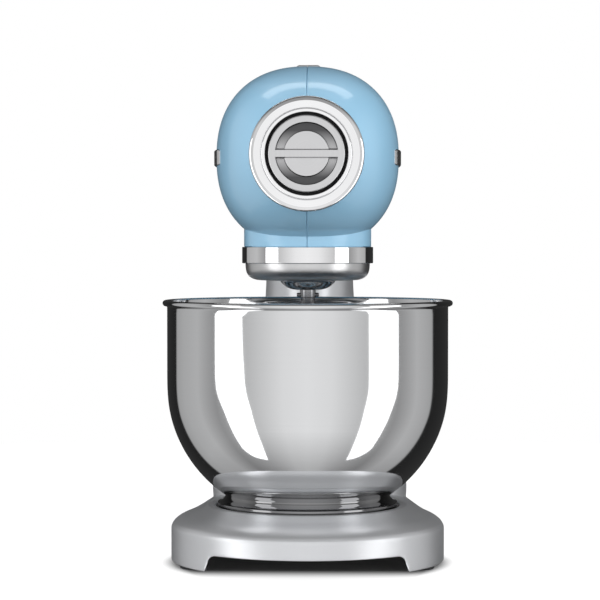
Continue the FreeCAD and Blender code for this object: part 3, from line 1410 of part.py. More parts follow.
node(group("column_bolts", [
    screw(f"column_bolt_{number}", S.column_bolt_shank, S.column_bolt_head, S.column_bolt_head_height,
          S.base_hollow_top, S.column_bolt_top, at, "Z") for number, at in enumerate(bolt_spots)
]))
node(rod("hinge_pin", S.hinge_pin_radius, -S.hinge_pin_half, S.hinge_pin_half, HINGE, "X"))

# Head release: a sprung push button with its lock bolt
BUTTON_AXIS = (0, 0, S.button_z)
node(turned("release_button", [
    (0, S.button_back_y), (S.button_radius, S.button_back_y),
    (S.button_radius, S.button_face_y - S.button_edge, S.button_edge, LEFT),
    (S.button_radius - S.button_edge, S.button_face_y), (0, S.button_face_y),
], BUTTON_AXIS, "Y"))
node(rod("lock_bolt", S.bolt_radius, S.bolt_front, S.button_back_y, BUTTON_AXIS, "Y"))
wire = S.spring_wire.value
spring_span = (S.button_back_y - S.button_pocket_y).value - 2 * wire - 2 * S.running_gap.value
helix = Part.makeHelix(spring_span / S.spring_turns.value, spring_span, S.spring_radius.value)
wire_middle = FreeCAD.Vector(S.spring_radius.value, 0, 0)
wire_sides = int(S.spring_wire_sides.value)
wire_turns = [2 * math.pi * (number % wire_sides) / wire_sides for number in range(wire_sides + 1)]
wire_end = Part.makePolygon([
    wire_middle + FreeCAD.Vector(wire * math.cos(turn), 0, wire * math.sin(turn)) for turn in wire_turns
])
spring = Part.Wire(helix).makePipeShell([wire_end], True, True)
spring_start = S.button_pocket_y + S.spring_wire + S.running_gap
node(computed("lock_spring", spring, (0, spring_start, S.button_z), "Y"))

# Every piece has to be sound before any is written
DOC.recompute()
faults = [piece.Label for piece in DOC.Objects if "Invalid" in piece.State or "Error" in piece.State]
faults += [piece.Label for piece in NODES if piece.Shape.isNull() or not piece.Shape.isValid()]
if faults:
    raise RuntimeError("unsound pieces: " + ", ".join(faults))
os.makedirs("parts", exist_ok=True)
for piece in NODES:
    piece.Shape.exportStep(f"parts/{piece.Label}.step")
print(f"{len(NODES)} pieces written")
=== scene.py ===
import math

import bmesh
import bpy
from mathutils import Matrix, Vector


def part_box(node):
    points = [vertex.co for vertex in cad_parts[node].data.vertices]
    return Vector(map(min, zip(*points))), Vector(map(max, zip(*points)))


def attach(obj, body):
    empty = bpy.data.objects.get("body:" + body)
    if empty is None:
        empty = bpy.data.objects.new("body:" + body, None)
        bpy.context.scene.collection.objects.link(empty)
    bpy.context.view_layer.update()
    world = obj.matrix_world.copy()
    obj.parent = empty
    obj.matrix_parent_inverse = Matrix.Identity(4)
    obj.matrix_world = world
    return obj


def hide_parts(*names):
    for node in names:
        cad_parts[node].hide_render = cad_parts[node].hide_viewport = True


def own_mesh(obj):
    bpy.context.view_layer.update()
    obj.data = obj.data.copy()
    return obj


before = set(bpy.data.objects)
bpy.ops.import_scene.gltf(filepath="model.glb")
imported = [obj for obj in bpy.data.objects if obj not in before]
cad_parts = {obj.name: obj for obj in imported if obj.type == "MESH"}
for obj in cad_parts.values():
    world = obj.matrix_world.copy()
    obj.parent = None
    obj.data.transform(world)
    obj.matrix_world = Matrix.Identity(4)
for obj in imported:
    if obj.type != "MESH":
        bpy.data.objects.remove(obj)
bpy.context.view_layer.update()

# Base casting: a heavy cast pedestal with a domed deck, an upright wall and an arch cut through the front.
# It is die-cast alloy under a fine metallic satin coat; everything else is bolted to it.
# Sizes here are millimetres in the part's own frame, and meshes are scaled to metres as they are made.
MM = 0.001
BOWL_Y = -90.5
COLUMN_Y = 92.0
FRONT_RADIUS = 104.0
REAR_RADIUS = 82.0
BASE_BOTTOM = 2.5
BASE_WALL = 6.0
BASE_ROOF = 26.0
CREASE_Z = 28.0
CREASE_ROUND = [(0.06, 0.15, -0.4), (0.28, 0.7, 0.3)]
DOME = [(0.0, 0.0, CREASE_Z), (2.4, 10.0, 32.0), (8.4, 28.0, 36.2), (19.8, 42.0, 40.4), (28.0, 52.0, 44.0)]
EDGE_ROUND = 1.1
SEAT_RECESS = 70.4
SEAT_FLOOR = 41.5
SEAT_EDGE = [(0.7, 44.0), (0.2, 43.8), (0.0, 43.3), (0.0, SEAT_FLOOR)]
ARCH_TOP = 14.8
ARCH_FLANK = ((76.0, 0.0), (72.5, 9.0))
ARCH_CORNER = ((66.5, 8.82), 6.0)
ARCH_STEP = 4.0
ARCH_FLANK_STATIONS = [73.2, 74.1, 75.0, 75.2]
FRONT_TURN = 0.85
FRONT_STEP = 0.045
SIDE_STEPS = 14
REAR_STEPS = 28


def put_in_scene(name, data):
    """An object of its own for a mesh, a lamp or a camera."""
    item = bpy.data.objects.new(name, data)
    bpy.context.scene.collection.objects.link(item)
    return item


def new_piece(name, points, faces, material, sharp=35.0):
    """A mesh object made of points in millimetres, smooth but for edges sharper than the given angle."""
    mesh = bpy.data.meshes.new(name)
    mesh.from_pydata([[value * MM for value in point] for point in points], [], faces)
    piece = put_in_scene(name, mesh)
    shape = bmesh.new()
    shape.from_mesh(mesh)
    bmesh.ops.remove_doubles(shape, verts=shape.verts, dist=1e-7)
    bmesh.ops.dissolve_degenerate(shape, edges=shape.edges, dist=1e-8)
    bmesh.ops.recalc_face_normals(shape, faces=shape.faces)
    shape.to_mesh(mesh)
    shape.free()
    mesh.shade_smooth()
    mesh.set_sharp_from_angle(angle=math.radians(sharp))
    mesh.materials.append(material)
    return piece


def skin(rows, closed=False):
    """Points and faces of a surface through rows of rings; each ring closes on itself."""
    count = len(rows[0])
    points = [point for row in rows for point in row]
    faces = []
    pairs = len(rows) if closed else len(rows) - 1
    for row in range(pairs):
        low = row * count
        high = (row + 1) % len(rows) * count
        for step in range(count):
            following = (step + 1) % count
            faces.append((low + step, low + following, high + following, high + step))
    if not closed:
        faces.append(tuple(range(count)))
        last = (len(rows) - 1) * count
        faces.append(tuple(last + step for step in range(count)))
    return points, faces


def smooth_through(knots, steps):
    """A smooth curve through knots of any dimension, as a list of points."""
    curve = []
    for index in range(len(knots) - 1):
        before = knots[max(index - 1, 0)]
        start = knots[index]
        end = knots[index + 1]
        after = knots[min(index + 2, len(knots) - 1)]
        for step in range(steps):
            t = step / steps
            curve.append(tuple(
                0.5 * (2 * b + (c - a) * t + (2 * a - 5 * b + 4 * c - d) * t ** 2
                       + (3 * b - a - 3 * c + d) * t ** 3)
                for a, b, c, d in zip(before, start, end, after)))
    curve.append(tuple(knots[-1]))
    return curve


def node_tree(name):
    """A new material with its nodes, links and shader."""
    material = bpy.data.materials.new(name)
    material.use_nodes = True
    tree = material.node_tree
    return material, tree, tree.nodes["Principled BSDF"]


def shader_group(name, inputs, outputs):
    """An empty shader node group with named inputs and outputs."""
    group = bpy.data.node_groups.new(name, "ShaderNodeTree")
    for label, kind, value in inputs:
        socket = group.interface.new_socket(label, in_out="INPUT", socket_type=kind)
        if value is not None:
            socket.default_value = value
    for label, kind in outputs:
        group.interface.new_socket(label, in_out="OUTPUT", socket_type=kind)
    entry = group.nodes.new("NodeGroupInput")
    leave = group.nodes.new("NodeGroupOutput")
    return group, entry, leave


# Fine grain is shared by every cast, painted and moulded surface: a fine speckle and a soft blotch.
grain_group, grain_in, grain_out = shader_group(
    "fine_grain",
    [("Coordinates", "NodeSocketVector", None), ("Speckle Scale", "NodeSocketFloat", 2600.0),
     ("Blotch Scale", "NodeSocketFloat", 14.0)],
    [("Speckle", "NodeSocketFloat"), ("Blotch", "NodeSocketFloat")])
for label, detail, output in (("Speckle Scale", 3.0, "Speckle"), ("Blotch Scale", 2.0, "Blotch")):
    noise = grain_group.nodes.new("ShaderNodeTexNoise")
    noise.inputs["Detail"].default_value = detail
    grain_group.links.new(grain_in.outputs["Coordinates"], noise.inputs["Vector"])
    grain_group.links.new(grain_in.outputs[label], noise.inputs["Scale"])
    grain_group.links.new(noise.outputs["Fac"], grain_out.inputs[output])


def add_group(tree, group, **values):
    """Place a group in a material, on object coordinates."""
    place = tree.nodes.new("ShaderNodeGroup")
    place.node_tree = group
    coordinates = tree.nodes.new("ShaderNodeTexCoord")
    tree.links.new(coordinates.outputs["Object"], place.inputs["Coordinates"])
    for label, value in values.items():
        place.inputs[label.replace("_", " ")].default_value = value
    return place


def spread(tree, source, low, high):
    """A value that runs from low to high as the source runs over the middle of its range."""
    ramp = tree.nodes.new("ShaderNodeMapRange")
    ramp.inputs["From Min"].default_value = 0.3
    ramp.inputs["From Max"].default_value = 0.7
    ramp.inputs["To Min"].default_value = low
    ramp.inputs["To Max"].default_value = high
    tree.links.new(source, ramp.inputs["Value"])
    return ramp.outputs["Result"]


def tint(tree, source, dark, light):
    """A colour between two shades, led by a mask."""
    mix = tree.nodes.new("ShaderNodeMix")
    mix.data_type = "RGBA"
    mix.inputs[6].default_value = (*dark, 1.0)
    mix.inputs[7].default_value = (*light, 1.0)
    tree.links.new(source, mix.inputs[0])
    return mix.outputs[2]


def emboss(tree, shader, source, depth, strength=1.0):
    """Bump a material by a height in millimetres."""
    bump = tree.nodes.new("ShaderNodeBump")
    bump.inputs["Strength"].default_value = strength
    bump.inputs["Distance"].default_value = depth * MM
    tree.links.new(source, bump.inputs["Height"])
    tree.links.new(bump.outputs["Normal"], shader.inputs["Normal"])


def grained(name, dark, light, metallic, rough, speckle, depth):
    """A cast, painted or moulded finish with fine grain in its colour, gloss and surface."""
    material, tree, shader = node_tree(name)
    grain = add_group(tree, grain_group, Speckle_Scale=speckle)
    tree.links.new(tint(tree, grain.outputs["Speckle"], dark, light), shader.inputs["Base Color"])
    tree.links.new(spread(tree, grain.outputs["Blotch"], *rough), shader.inputs["Roughness"])
    shader.inputs["Metallic"].default_value = metallic
    emboss(tree, shader, grain.outputs["Speckle"], depth)
    return material


silver_coat = grained("silver_satin_coat", (0.66, 0.67, 0.69), (0.75, 0.76, 0.78), 0.80, (0.36, 0.42),
                      3000.0, 0.012)


def arch_height(x):
    """Height of the wall's lower edge at a distance from the middle of the front."""
    reach = abs(x)
    (outer, low), (inner, high) = ARCH_FLANK
    (centre_x, centre_z), radius = ARCH_CORNER
    if reach >= inner:
        return max(BASE_BOTTOM, low + (outer - reach) / (outer - inner) * (high - low))
    if reach > centre_x:
        return centre_z + math.sqrt(radius ** 2 - (reach - centre_x) ** 2)
    return ARCH_TOP


front_end = math.pi / 2 + math.asin((FRONT_RADIUS - REAR_RADIUS) / (COLUMN_Y - BOWL_Y))
arch_stations = [ARCH_STEP * step for step in range(17)]
arch_stations += [ARCH_CORNER[0][0] + ARCH_CORNER[1] * math.sin(math.radians(angle))
                  for angle in (12, 28, 42, 54, 64, 73, 81, 87)]
arch_stations += ARCH_FLANK_STATIONS
front_angles = [math.asin(x / FRONT_RADIUS) for x in arch_stations]
while front_angles[-1] < front_end - FRONT_STEP:
    front_angles.append(front_angles[-1] + FRONT_STEP)
front_angles.append(front_end)
side_shares = [step / SIDE_STEPS for step in range(1, SIDE_STEPS)]
rear_shares = [step / REAR_STEPS for step in range(REAR_STEPS + 1)]


def base_ring(inset, height, keep_x=False, rear_inset=None):
    """One ring round the base, at an inset from its outline; the height may follow the arch."""
    front = FRONT_RADIUS - inset
    rear = REAR_RADIUS - (inset if rear_inset is None else rear_inset)
    side = math.pi / 2 + math.asin((front - rear) / (COLUMN_Y - BOWL_Y))
    half = []
    for angle in front_angles:
        turn = angle
        if angle > FRONT_TURN:
            turn = FRONT_TURN + (angle - FRONT_TURN) * (side - FRONT_TURN) / (front_end - FRONT_TURN)
        elif keep_x:
            turn = math.asin(FRONT_RADIUS * math.sin(angle) / front)
        half.append((front * math.sin(turn), BOWL_Y - front * math.cos(turn)))
    start = half[-1]
    end = (rear * math.sin(side), COLUMN_Y - rear * math.cos(side))
    half += [(start[0] + (end[0] - start[0]) * share, start[1] + (end[1] - start[1]) * share)
             for share in side_shares]
    half += [(rear * math.sin(angle), COLUMN_Y - rear * math.cos(angle))
             for angle in (side + (math.pi - side) * share for share in rear_shares)]
    ring = []
    for index, (x, y) in enumerate(half):
        edge = BASE_BOTTOM
        if index < len(front_angles):
            edge = arch_height(FRONT_RADIUS * math.sin(front_angles[index]))
        ring.append((x, y, height(edge)))
    mirrored = [(-x, y, z) for x, y, z in reversed(ring[1:-1])]
    return ring + mirrored


edge_turn = [(EDGE_ROUND * (1 - math.sin(math.radians(angle))),
              EDGE_ROUND * (1 - math.cos(math.radians(angle)))) for angle in (0, 22, 45, 68, 90)]
base_rows = [base_ring(BASE_WALL, lambda edge: BASE_ROOF)]
base_rows += [base_ring(BASE_WALL - inset, lambda edge, lift=lift: edge + lift, True)
              for lift, inset in edge_turn]
base_rows += [base_ring(inset, lambda edge, lift=lift: edge + lift, True)
              for lift, inset in reversed(edge_turn)]
base_rows += [base_ring(0.0, lambda edge, share=share: edge + (CREASE_Z - 1.0 - edge) * share, True)
              for share in (0.3, 0.6, 0.9, 1.0)]
dome_curve = [(inset, rear_inset, CREASE_Z + lift) for inset, rear_inset, lift in CREASE_ROUND]
dome_curve += smooth_through(DOME, 10)[2:]
base_rows += [base_ring(inset, lambda edge, height=height: height, False, rear_inset)
              for inset, rear_inset, height in dome_curve]
deck_ring = base_rows[-1]


def on_recess(point, radius, height):
    """The point of the bowl seat's round recess that lies towards a point of the deck's edge."""
    reach = math.hypot(point[0], point[1] - BOWL_Y)
    return (point[0] / reach * radius, BOWL_Y + (point[1] - BOWL_Y) / reach * radius, height)


for widen, height in SEAT_EDGE:
    base_rows.append([on_recess(point, SEAT_RECESS + widen, height) for point in deck_ring])
base_piece = new_piece("base", *skin(base_rows), silver_coat)
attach(base_piece, "stand")
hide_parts("base_casting")

# Rubber feet: four soft discs pressed into the underside of the base, one at each corner.
# They are moulded black rubber with a bevelled lower edge, and lift the casting just off the worktop.
FOOT_SPOTS = [(86.0, -128.0), (-86.0, -128.0), (48.0, 140.0), (-48.0, 140.0)]
FOOT_PROFILE = [(0.0, 0.0), (7.6, 0.0, 0.5), (9.0, 0.8, 0.4), (9.0, 2.5), (0.0, 2.5)]


def rounded(corners, closed=False, parts=5):
    """A profile whose corners (r, h, radius) are rounded; points beside each round keep the flats flat."""
    count = len(corners)
    profile = []
    for index, corner in enumerate(corners):
        here = Vector(corner[:2])
        radius = corner[2] if len(corner) > 2 else 0.0
        inner = closed or 0 < index < count - 1
        if not radius or not inner:
            profile.append(tuple(here))
            continue
        back = (Vector(corners[index - 1][:2]) - here).normalized()
        ahead = (Vector(corners[(index + 1) % count][:2]) - here).normalized()
        half = back.angle(ahead) / 2
        run = radius / math.tan(half)
        centre = here + (back + ahead).normalized() * (radius / math.sin(half))
        first = here + back * run - centre
        last = here + ahead * run - centre
        sweep = first.angle_signed(last)
        profile.append(tuple(here + back * run * 1.25))
        for step in range(parts + 1):
            turn = Matrix.Rotation(-sweep * step / parts, 2)
            profile.append(tuple(centre + turn @ first))
        profile.append(tuple(here + ahead * run * 1.25))
    return profile


def lathe(profile, centre=(0.0, 0.0, 0.0), axis="Z", steps=96, closed=False):
    """Points and faces of a profile of (radius, height) turned about an upright or a front-to-back axis."""
    rows = []
    for radius, height in profile:
        ring = []
        for step in range(steps):
            angle = 2 * math.pi * step / steps
            across = radius * math.cos(angle)
            along = radius * math.sin(angle)
            offset = (across, along, height) if axis == "Z" else (across, height, along)
            ring.append(tuple(a + b for a, b in zip(centre, offset)))
        rows.append(ring)
    points, faces = skin(rows, closed)
    if not closed:
        faces = faces[:-2]
    return points, faces


black_rubber = grained("black_rubber", (0.012, 0.012, 0.013), (0.030, 0.030, 0.032), 0.0, (0.62, 0.78),
                       1500.0, 0.05)

# The tree puts one copy of a piece on each of its spots and hands back a single plain mesh.
spots_tree = bpy.data.node_groups.new("piece_on_spots", "GeometryNodeTree")
spots_tree.interface.new_socket("Spots", in_out="INPUT", socket_type="NodeSocketGeometry")
piece_socket = spots_tree.interface.new_socket("Piece", in_out="INPUT", socket_type="NodeSocketObject")
finish_socket = spots_tree.interface.new_socket("Finish", in_out="INPUT", socket_type="NodeSocketMaterial")
turn_socket = spots_tree.interface.new_socket("Turn Step", in_out="INPUT", socket_type="NodeSocketFloat")
spots_tree.interface.new_socket("Pieces", in_out="OUTPUT", socket_type="NodeSocketGeometry")
spots_in = spots_tree.nodes.new("NodeGroupInput")
spots_out = spots_tree.nodes.new("NodeGroupOutput")
piece_info = spots_tree.nodes.new("GeometryNodeObjectInfo")
copies = spots_tree.nodes.new("GeometryNodeInstanceOnPoints")
order = spots_tree.nodes.new("GeometryNodeInputIndex")
turn_by = spots_tree.nodes.new("ShaderNodeMath")
turn_by.operation = "MULTIPLY"
turn_vector = spots_tree.nodes.new("ShaderNodeCombineXYZ")
realize = spots_tree.nodes.new("GeometryNodeRealizeInstances")
set_finish = spots_tree.nodes.new("GeometryNodeSetMaterial")
for source, target in (
        (spots_in.outputs["Spots"], copies.inputs["Points"]),
        (spots_in.outputs["Piece"], piece_info.inputs["Object"]),
        (piece_info.outputs["Geometry"], copies.inputs["Instance"]),
        (order.outputs["Index"], turn_by.inputs[0]),
        (spots_in.outputs["Turn Step"], turn_by.inputs[1]),
        (turn_by.outputs["Value"], turn_vector.inputs["Z"]),
        (turn_vector.outputs["Vector"], copies.inputs["Rotation"]),
        (copies.outputs["Instances"], realize.inputs["Geometry"]),
        (realize.outputs["Geometry"], set_finish.inputs["Geometry"]),
        (spots_in.outputs["Finish"], set_finish.inputs["Material"]),
        (set_finish.outputs["Geometry"], spots_out.inputs["Pieces"])):
    spots_tree.links.new(source, target)


def on_spots(name, master, spots, material, turn=0.0):
    """One mesh object holding a copy of the master piece on every spot; the master goes."""
    holder_mesh = bpy.data.meshes.new(name + "_spots")
    holder_mesh.from_pydata([[value * MM for value in spot] for spot in spots], [], [])
    holder = put_in_scene(name + "_spots", holder_mesh)
    modifier = holder.modifiers.new("copies", "NODES")
    modifier.node_group = spots_tree
    modifier[piece_socket.identifier] = master
    modifier[finish_socket.identifier] = material
    modifier[turn_socket.identifier] = turn
    scene_state = bpy.context.evaluated_depsgraph_get()
    piece = put_in_scene(name, bpy.data.meshes.new_from_object(holder.evaluated_get(scene_state)))
    bpy.data.objects.remove(holder)
    bpy.data.objects.remove(master)
    return piece


foot_master = new_piece("foot_master", *lathe(rounded(FOOT_PROFILE), steps=48), black_rubber)
feet_piece = on_spots("feet", foot_master, [(x, y, 0.0) for x, y in FOOT_SPOTS], black_rubber)
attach(feet_piece, "stand")
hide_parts("rubber_feet")

# Bottom cover: a flat moulded sheet that closes the hollow of the base, held up by four pan-head screws.
# The sheet keeps its CAD shape; the screws get their domed heads and cross slots here.
COVER_SCREW_SPOTS = [(52.0, -50.0), (-52.0, -50.0), (52.0, 100.0), (-52.0, 100.0)]
SCREW_HEAD_LOW = 13.2
SCREW_HEAD_HIGH = 15.0
SCREW_HEAD = 3.5
SLOT_HALF = 0.45
SLOT_REACH = 1.9
SLOT_LOW = SCREW_HEAD_LOW - 1.0
SLOT_HIGH = SCREW_HEAD_LOW + 0.9
SCREW_TURN = 0.7


def dress(node, material):
    """Give a CAD node that keeps its shape a finished material."""
    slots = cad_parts[node].data.materials
    slots.clear()
    slots.append(material)


def carve(piece, cutters, operation="DIFFERENCE", sharp=35.0):
    """Cut pieces out of a piece, or join them to it, and leave a plain mesh."""
    for cutter in cutters:
        modifier = piece.modifiers.new("carve", "BOOLEAN")
        modifier.operation = operation
        modifier.solver = "EXACT"
        modifier.object = cutter
    scene_state = bpy.context.evaluated_depsgraph_get()
    mesh = bpy.data.meshes.new_from_object(piece.evaluated_get(scene_state))
    piece.modifiers.clear()
    piece.data = mesh
    for cutter in cutters:
        bpy.data.objects.remove(cutter)
    mesh.shade_smooth()
    mesh.set_sharp_from_angle(angle=math.radians(sharp))


def brick(name, low, high, material):
    """A plain box between two corners, used to cut slots and pockets."""
    points = [(x, y, z) for x in (low[0], high[0]) for y in (low[1], high[1]) for z in (low[2], high[2])]
    faces = [(0, 1, 3, 2), (4, 6, 7, 5), (0, 4, 5, 1), (2, 3, 7, 6), (0, 2, 6, 4), (1, 5, 7, 3)]
    return new_piece(name, points, faces, material)


black_plastic = grained("black_moulding", (0.016, 0.016, 0.017), (0.034, 0.034, 0.036), 0.0, (0.45, 0.58),
                        900.0, 0.04)
zinc_plate = grained("zinc_plated_steel", (0.50, 0.50, 0.48), (0.60, 0.60, 0.57), 1.0, (0.26, 0.40),
                     1800.0, 0.01)
screw_profile = [(0.0, SCREW_HEAD_LOW), (SCREW_HEAD, SCREW_HEAD_LOW, 1.2), (SCREW_HEAD, SCREW_HEAD_HIGH),
                 (0.0, SCREW_HEAD_HIGH)]
screw_master = new_piece("screw_master", *lathe(rounded(screw_profile), steps=32), zinc_plate)
carve(screw_master, [
    brick("slot_across", (-SLOT_REACH, -SLOT_HALF, SLOT_LOW), (SLOT_REACH, SLOT_HALF, SLOT_HIGH), zinc_plate),
    brick("slot_along", (-SLOT_HALF, -SLOT_REACH, SLOT_LOW), (SLOT_HALF, SLOT_REACH, SLOT_HIGH), zinc_plate),
])
cover_screws = on_spots("cover_screws", screw_master, [(x, y, 0.0) for x, y in COVER_SCREW_SPOTS],
                        zinc_plate, SCREW_TURN)
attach(cover_screws, "stand")
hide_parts("bottom_cover_screws")
dress("base_bottom_cover", black_plastic)
for hidden in ("column_bolts", "seat_plate_screws"):
    dress(hidden, zinc_plate)
dress("cord_inlet_bush", black_rubber)
dress("terminal_block", black_plastic)

# Column: a waisted pillar cast in one piece, bolted to the back of the base and saddled to let the head tip.
# Its sections are ellipses; the saddle clears the head both lying and raised, and a slot takes the hinge lug.
COLUMN_SECTIONS = [(28.0, 81.5, 81.9, 92.0), (46.0, 81.0, 81.5, 92.0), (72.0, 70.0, 73.0, 93.0),
                   (104.0, 54.0, 65.5, 93.0), (150.0, 42.0, 60.0, 92.0), (204.0, 37.0, 57.0, 92.0),
                   (266.0, 36.0, 57.0, 95.0)]
COLUMN_STEPS = 120
COLUMN_ROWS = 70
HEAD_Z = 308.0
HEAD_RADIUS = 70.0
NOSE_RADIUS = 42.0
NOSE_LENGTH = 79.0
NOSE_CURVE = (NOSE_LENGTH ** 2 + (HEAD_RADIUS - NOSE_RADIUS) ** 2) / (2 * (HEAD_RADIUS - NOSE_RADIUS))
TAIL_LENGTH = 239.9
TAIL_RADIUS = 51.6
TAIL_CURVE = (TAIL_LENGTH ** 2 + HEAD_RADIUS ** 2 - TAIL_RADIUS ** 2) / (2 * (HEAD_RADIUS - TAIL_RADIUS))
HINGE = (112.0, 232.0)
HINGE_BORE = 5.0
HINGE_REACH = 60.0
HINGE_SIDES = 40
TILT = math.radians(34.0)
SADDLE_GAP = 1.5
SADDLE_RANGE = (180.0, 275.0)
SADDLE_SHARES = (0.985, 0.95, 0.88, 0.78, 0.66, 0.54, 0.42, 0.30, 0.18, 0.08, 0.02)
LUG_POCKET = ((-18.6, 97.0, 217.5), (18.6, 126.6, 300.0))
ARM_POCKET = ((-18.6, 112.0, 228.0), (18.6, 139.0, 300.0))
TONGUE_POCKET = ((-8.6, 86.0, 202.0), (8.6, 116.0, 232.0))
BUTTON_AXIS = (0.0, 0.0, 212.0)
WELL_RADIUS = 10.3
WELL_FLOOR = 128.0
WELL_END = 170.0
column_curve = smooth_through(COLUMN_SECTIONS, 40)


def head_radius(y):
    """Radius of the head about its own axis."""
    away = y - BOWL_Y
    curve = NOSE_CURVE if away < 0 else TAIL_CURVE
    if away > TAIL_LENGTH * TAIL_CURVE / (TAIL_CURVE - TAIL_RADIUS):
        return math.sqrt(max(TAIL_RADIUS ** 2 - (away - TAIL_LENGTH) ** 2, 0.0))
    return HEAD_RADIUS - curve + math.sqrt(curve ** 2 - away ** 2)


def column_section(z):
    """Half width, half depth and middle of the column at a height."""
    for low, high in zip(column_curve, column_curve[1:]):
        if z <= high[0]:
            share = (z - low[0]) / (high[0] - low[0])
            return [a + (b - a) * share for a, b in zip(low[1:], high[1:])]
    return list(column_curve[-1][1:])


def in_head_space(x, y, z):
    """Whether a point lies in the space that the lying or the raised head needs."""
    turned_y = HINGE[0] + (y - HINGE[0]) * math.cos(TILT) - (z - HINGE[1]) * math.sin(TILT)
    turned_z = HINGE[1] + (y - HINGE[0]) * math.sin(TILT) + (z - HINGE[1]) * math.cos(TILT)
    for along, height in ((y, z), (turned_y, turned_z)):
        if math.hypot(x, height - HEAD_Z) < head_radius(along) + SADDLE_GAP:
            return True
    return False


def saddle_height(x_at, y_at):
    """Lowest height at which a point on an upright path enters the head's space."""
    low, high = SADDLE_RANGE
    for step in range(30):
        middle = (low + high) / 2
        if in_head_space(x_at(middle), y_at(middle), middle):
            high = middle
        else:
            low = middle
    return low


def plug(name, radius, low, high, centre, axis, steps, material):
    """A plain round cutter between two heights on an axis."""
    profile = [(0.0, low), (radius, low), (radius, high), (0.0, high)]
    return new_piece(name, *lathe(profile, centre, axis, steps), material)


column_turns = [2 * math.pi * step / COLUMN_STEPS for step in range(COLUMN_STEPS)]
column_rows = []
saddle_edge = []
for turn in column_turns:
    saddle_edge.append(saddle_height(lambda z: column_section(z)[0] * math.sin(turn),
                                     lambda z: column_section(z)[2] - column_section(z)[1] * math.cos(turn)))
for share in [row / COLUMN_ROWS for row in range(COLUMN_ROWS)] + [0.993, 1.0]:
    ring = []
    for turn, edge in zip(column_turns, saddle_edge):
        z = CREASE_Z + (edge - CREASE_Z) * share
        half_width, half_depth, middle = column_section(z)
        ring.append((half_width * math.sin(turn), middle - half_depth * math.cos(turn), z))
    column_rows.append(ring)
rim = column_rows[-1]
saddle_middle = sum(point[1] for point in rim) / len(rim)
for share in SADDLE_SHARES:
    ring = []
    for x, y, z in rim:
        near_x = x * share
        near_y = saddle_middle + (y - saddle_middle) * share
        ring.append((near_x, near_y, saddle_height(lambda z: near_x, lambda z: near_y)))
    column_rows.append(ring)
column_piece = new_piece("column_casting", *skin(column_rows), silver_coat)
hinge_turns = [2 * math.pi * step / HINGE_SIDES for step in range(HINGE_SIDES)]
hinge_way = [[(x, HINGE[0] + HINGE_BORE * math.cos(turn), HINGE[1] + HINGE_BORE * math.sin(turn))
              for turn in hinge_turns] for x in (-HINGE_REACH, HINGE_REACH)]
carve(column_piece, [
    brick("lug_pocket", *LUG_POCKET, silver_coat),
    brick("arm_pocket", *ARM_POCKET, silver_coat),
    brick("tongue_pocket", *TONGUE_POCKET, silver_coat),
    plug("button_well", WELL_RADIUS, WELL_FLOOR, WELL_END, BUTTON_AXIS, "Y", 64, silver_coat),
    new_piece("hinge_way", *skin(hinge_way), silver_coat),
])


def true_normals(piece, rule):
    """Shade a carved surface by the exact normals of its form, so that reflections stay smooth."""
    mesh = piece.data
    normals = [Vector(corner.vector) for corner in mesh.corner_normals]
    for face in mesh.polygons:
        for corner in face.loop_indices:
            point = mesh.vertices[mesh.loops[corner].vertex_index].co / MM
            normal = rule(point, face.center / MM)
            if normal is not None and normal.dot(face.normal) > 0.8:
                normals[corner] = normal
    mesh.normals_split_custom_set(normals)


def column_normal(point, middle):
    """Outward direction of the column's wall."""
    if not CREASE_Z < point.z < SADDLE_RANGE[1]:
        return None
    half_width, half_depth, centre = column_section(point.z)
    off = math.hypot(point.x / half_width, (point.y - centre) / half_depth) - 1
    if abs(off) > 0.006:
        return None
    rise = 0.5
    upper = column_section(point.z + rise)
    level = math.hypot(point.x / upper[0], (point.y - upper[2]) / upper[1]) - 1
    slope = (level - off) / rise
    return Vector((point.x / half_width ** 2, (point.y - centre) / half_depth ** 2, slope)).normalized()


true_normals(column_piece, column_normal)
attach(column_piece, "stand")
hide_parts("column")

# Head release: a domed push button in the back of the column, pressed in to free the head.
# The button is satin alloy with a dished thumb face; its steel bolt and spring lie hidden in the well.
BUTTON_BACK = 140.0
BUTTON_PROFILE = [(0.0, BUTTON_BACK), (10.0, BUTTON_BACK, 0.4), (10.0, 154.0, 1.4), (7.6, 154.0, 0.8),
                  (6.6, 153.3, 1.0), (0.0, 152.9)]

# Turning marks are shared by every turned or polished round piece: fine rings about its axis.
marks_group, marks_in, marks_out = shader_group(
    "turning_marks",
    [("Coordinates", "NodeSocketVector", None), ("Centre", "NodeSocketVector", (0.0, 0.0, 0.0)),
     ("Across", "NodeSocketVector", (1.0, 1.0, 0.0)), ("Ring Scale", "NodeSocketFloat", 900.0)],
    [("Rings", "NodeSocketFloat"), ("Haze", "NodeSocketFloat")])
shift = marks_group.nodes.new("ShaderNodeVectorMath")
shift.operation = "SUBTRACT"
flatten = marks_group.nodes.new("ShaderNodeVectorMath")
flatten.operation = "MULTIPLY"
reach = marks_group.nodes.new("ShaderNodeVectorMath")
reach.operation = "LENGTH"
rise = marks_group.nodes.new("ShaderNodeVectorMath")
rise.operation = "SUBTRACT"
climb = marks_group.nodes.new("ShaderNodeVectorMath")
climb.operation = "LENGTH"
track = marks_group.nodes.new("ShaderNodeCombineXYZ")
rings = marks_group.nodes.new("ShaderNodeTexNoise")
rings.inputs["Detail"].default_value = 2.0
haze = marks_group.nodes.new("ShaderNodeTexNoise")
haze.inputs["Scale"].default_value = 9.0
haze.inputs["Detail"].default_value = 4.0
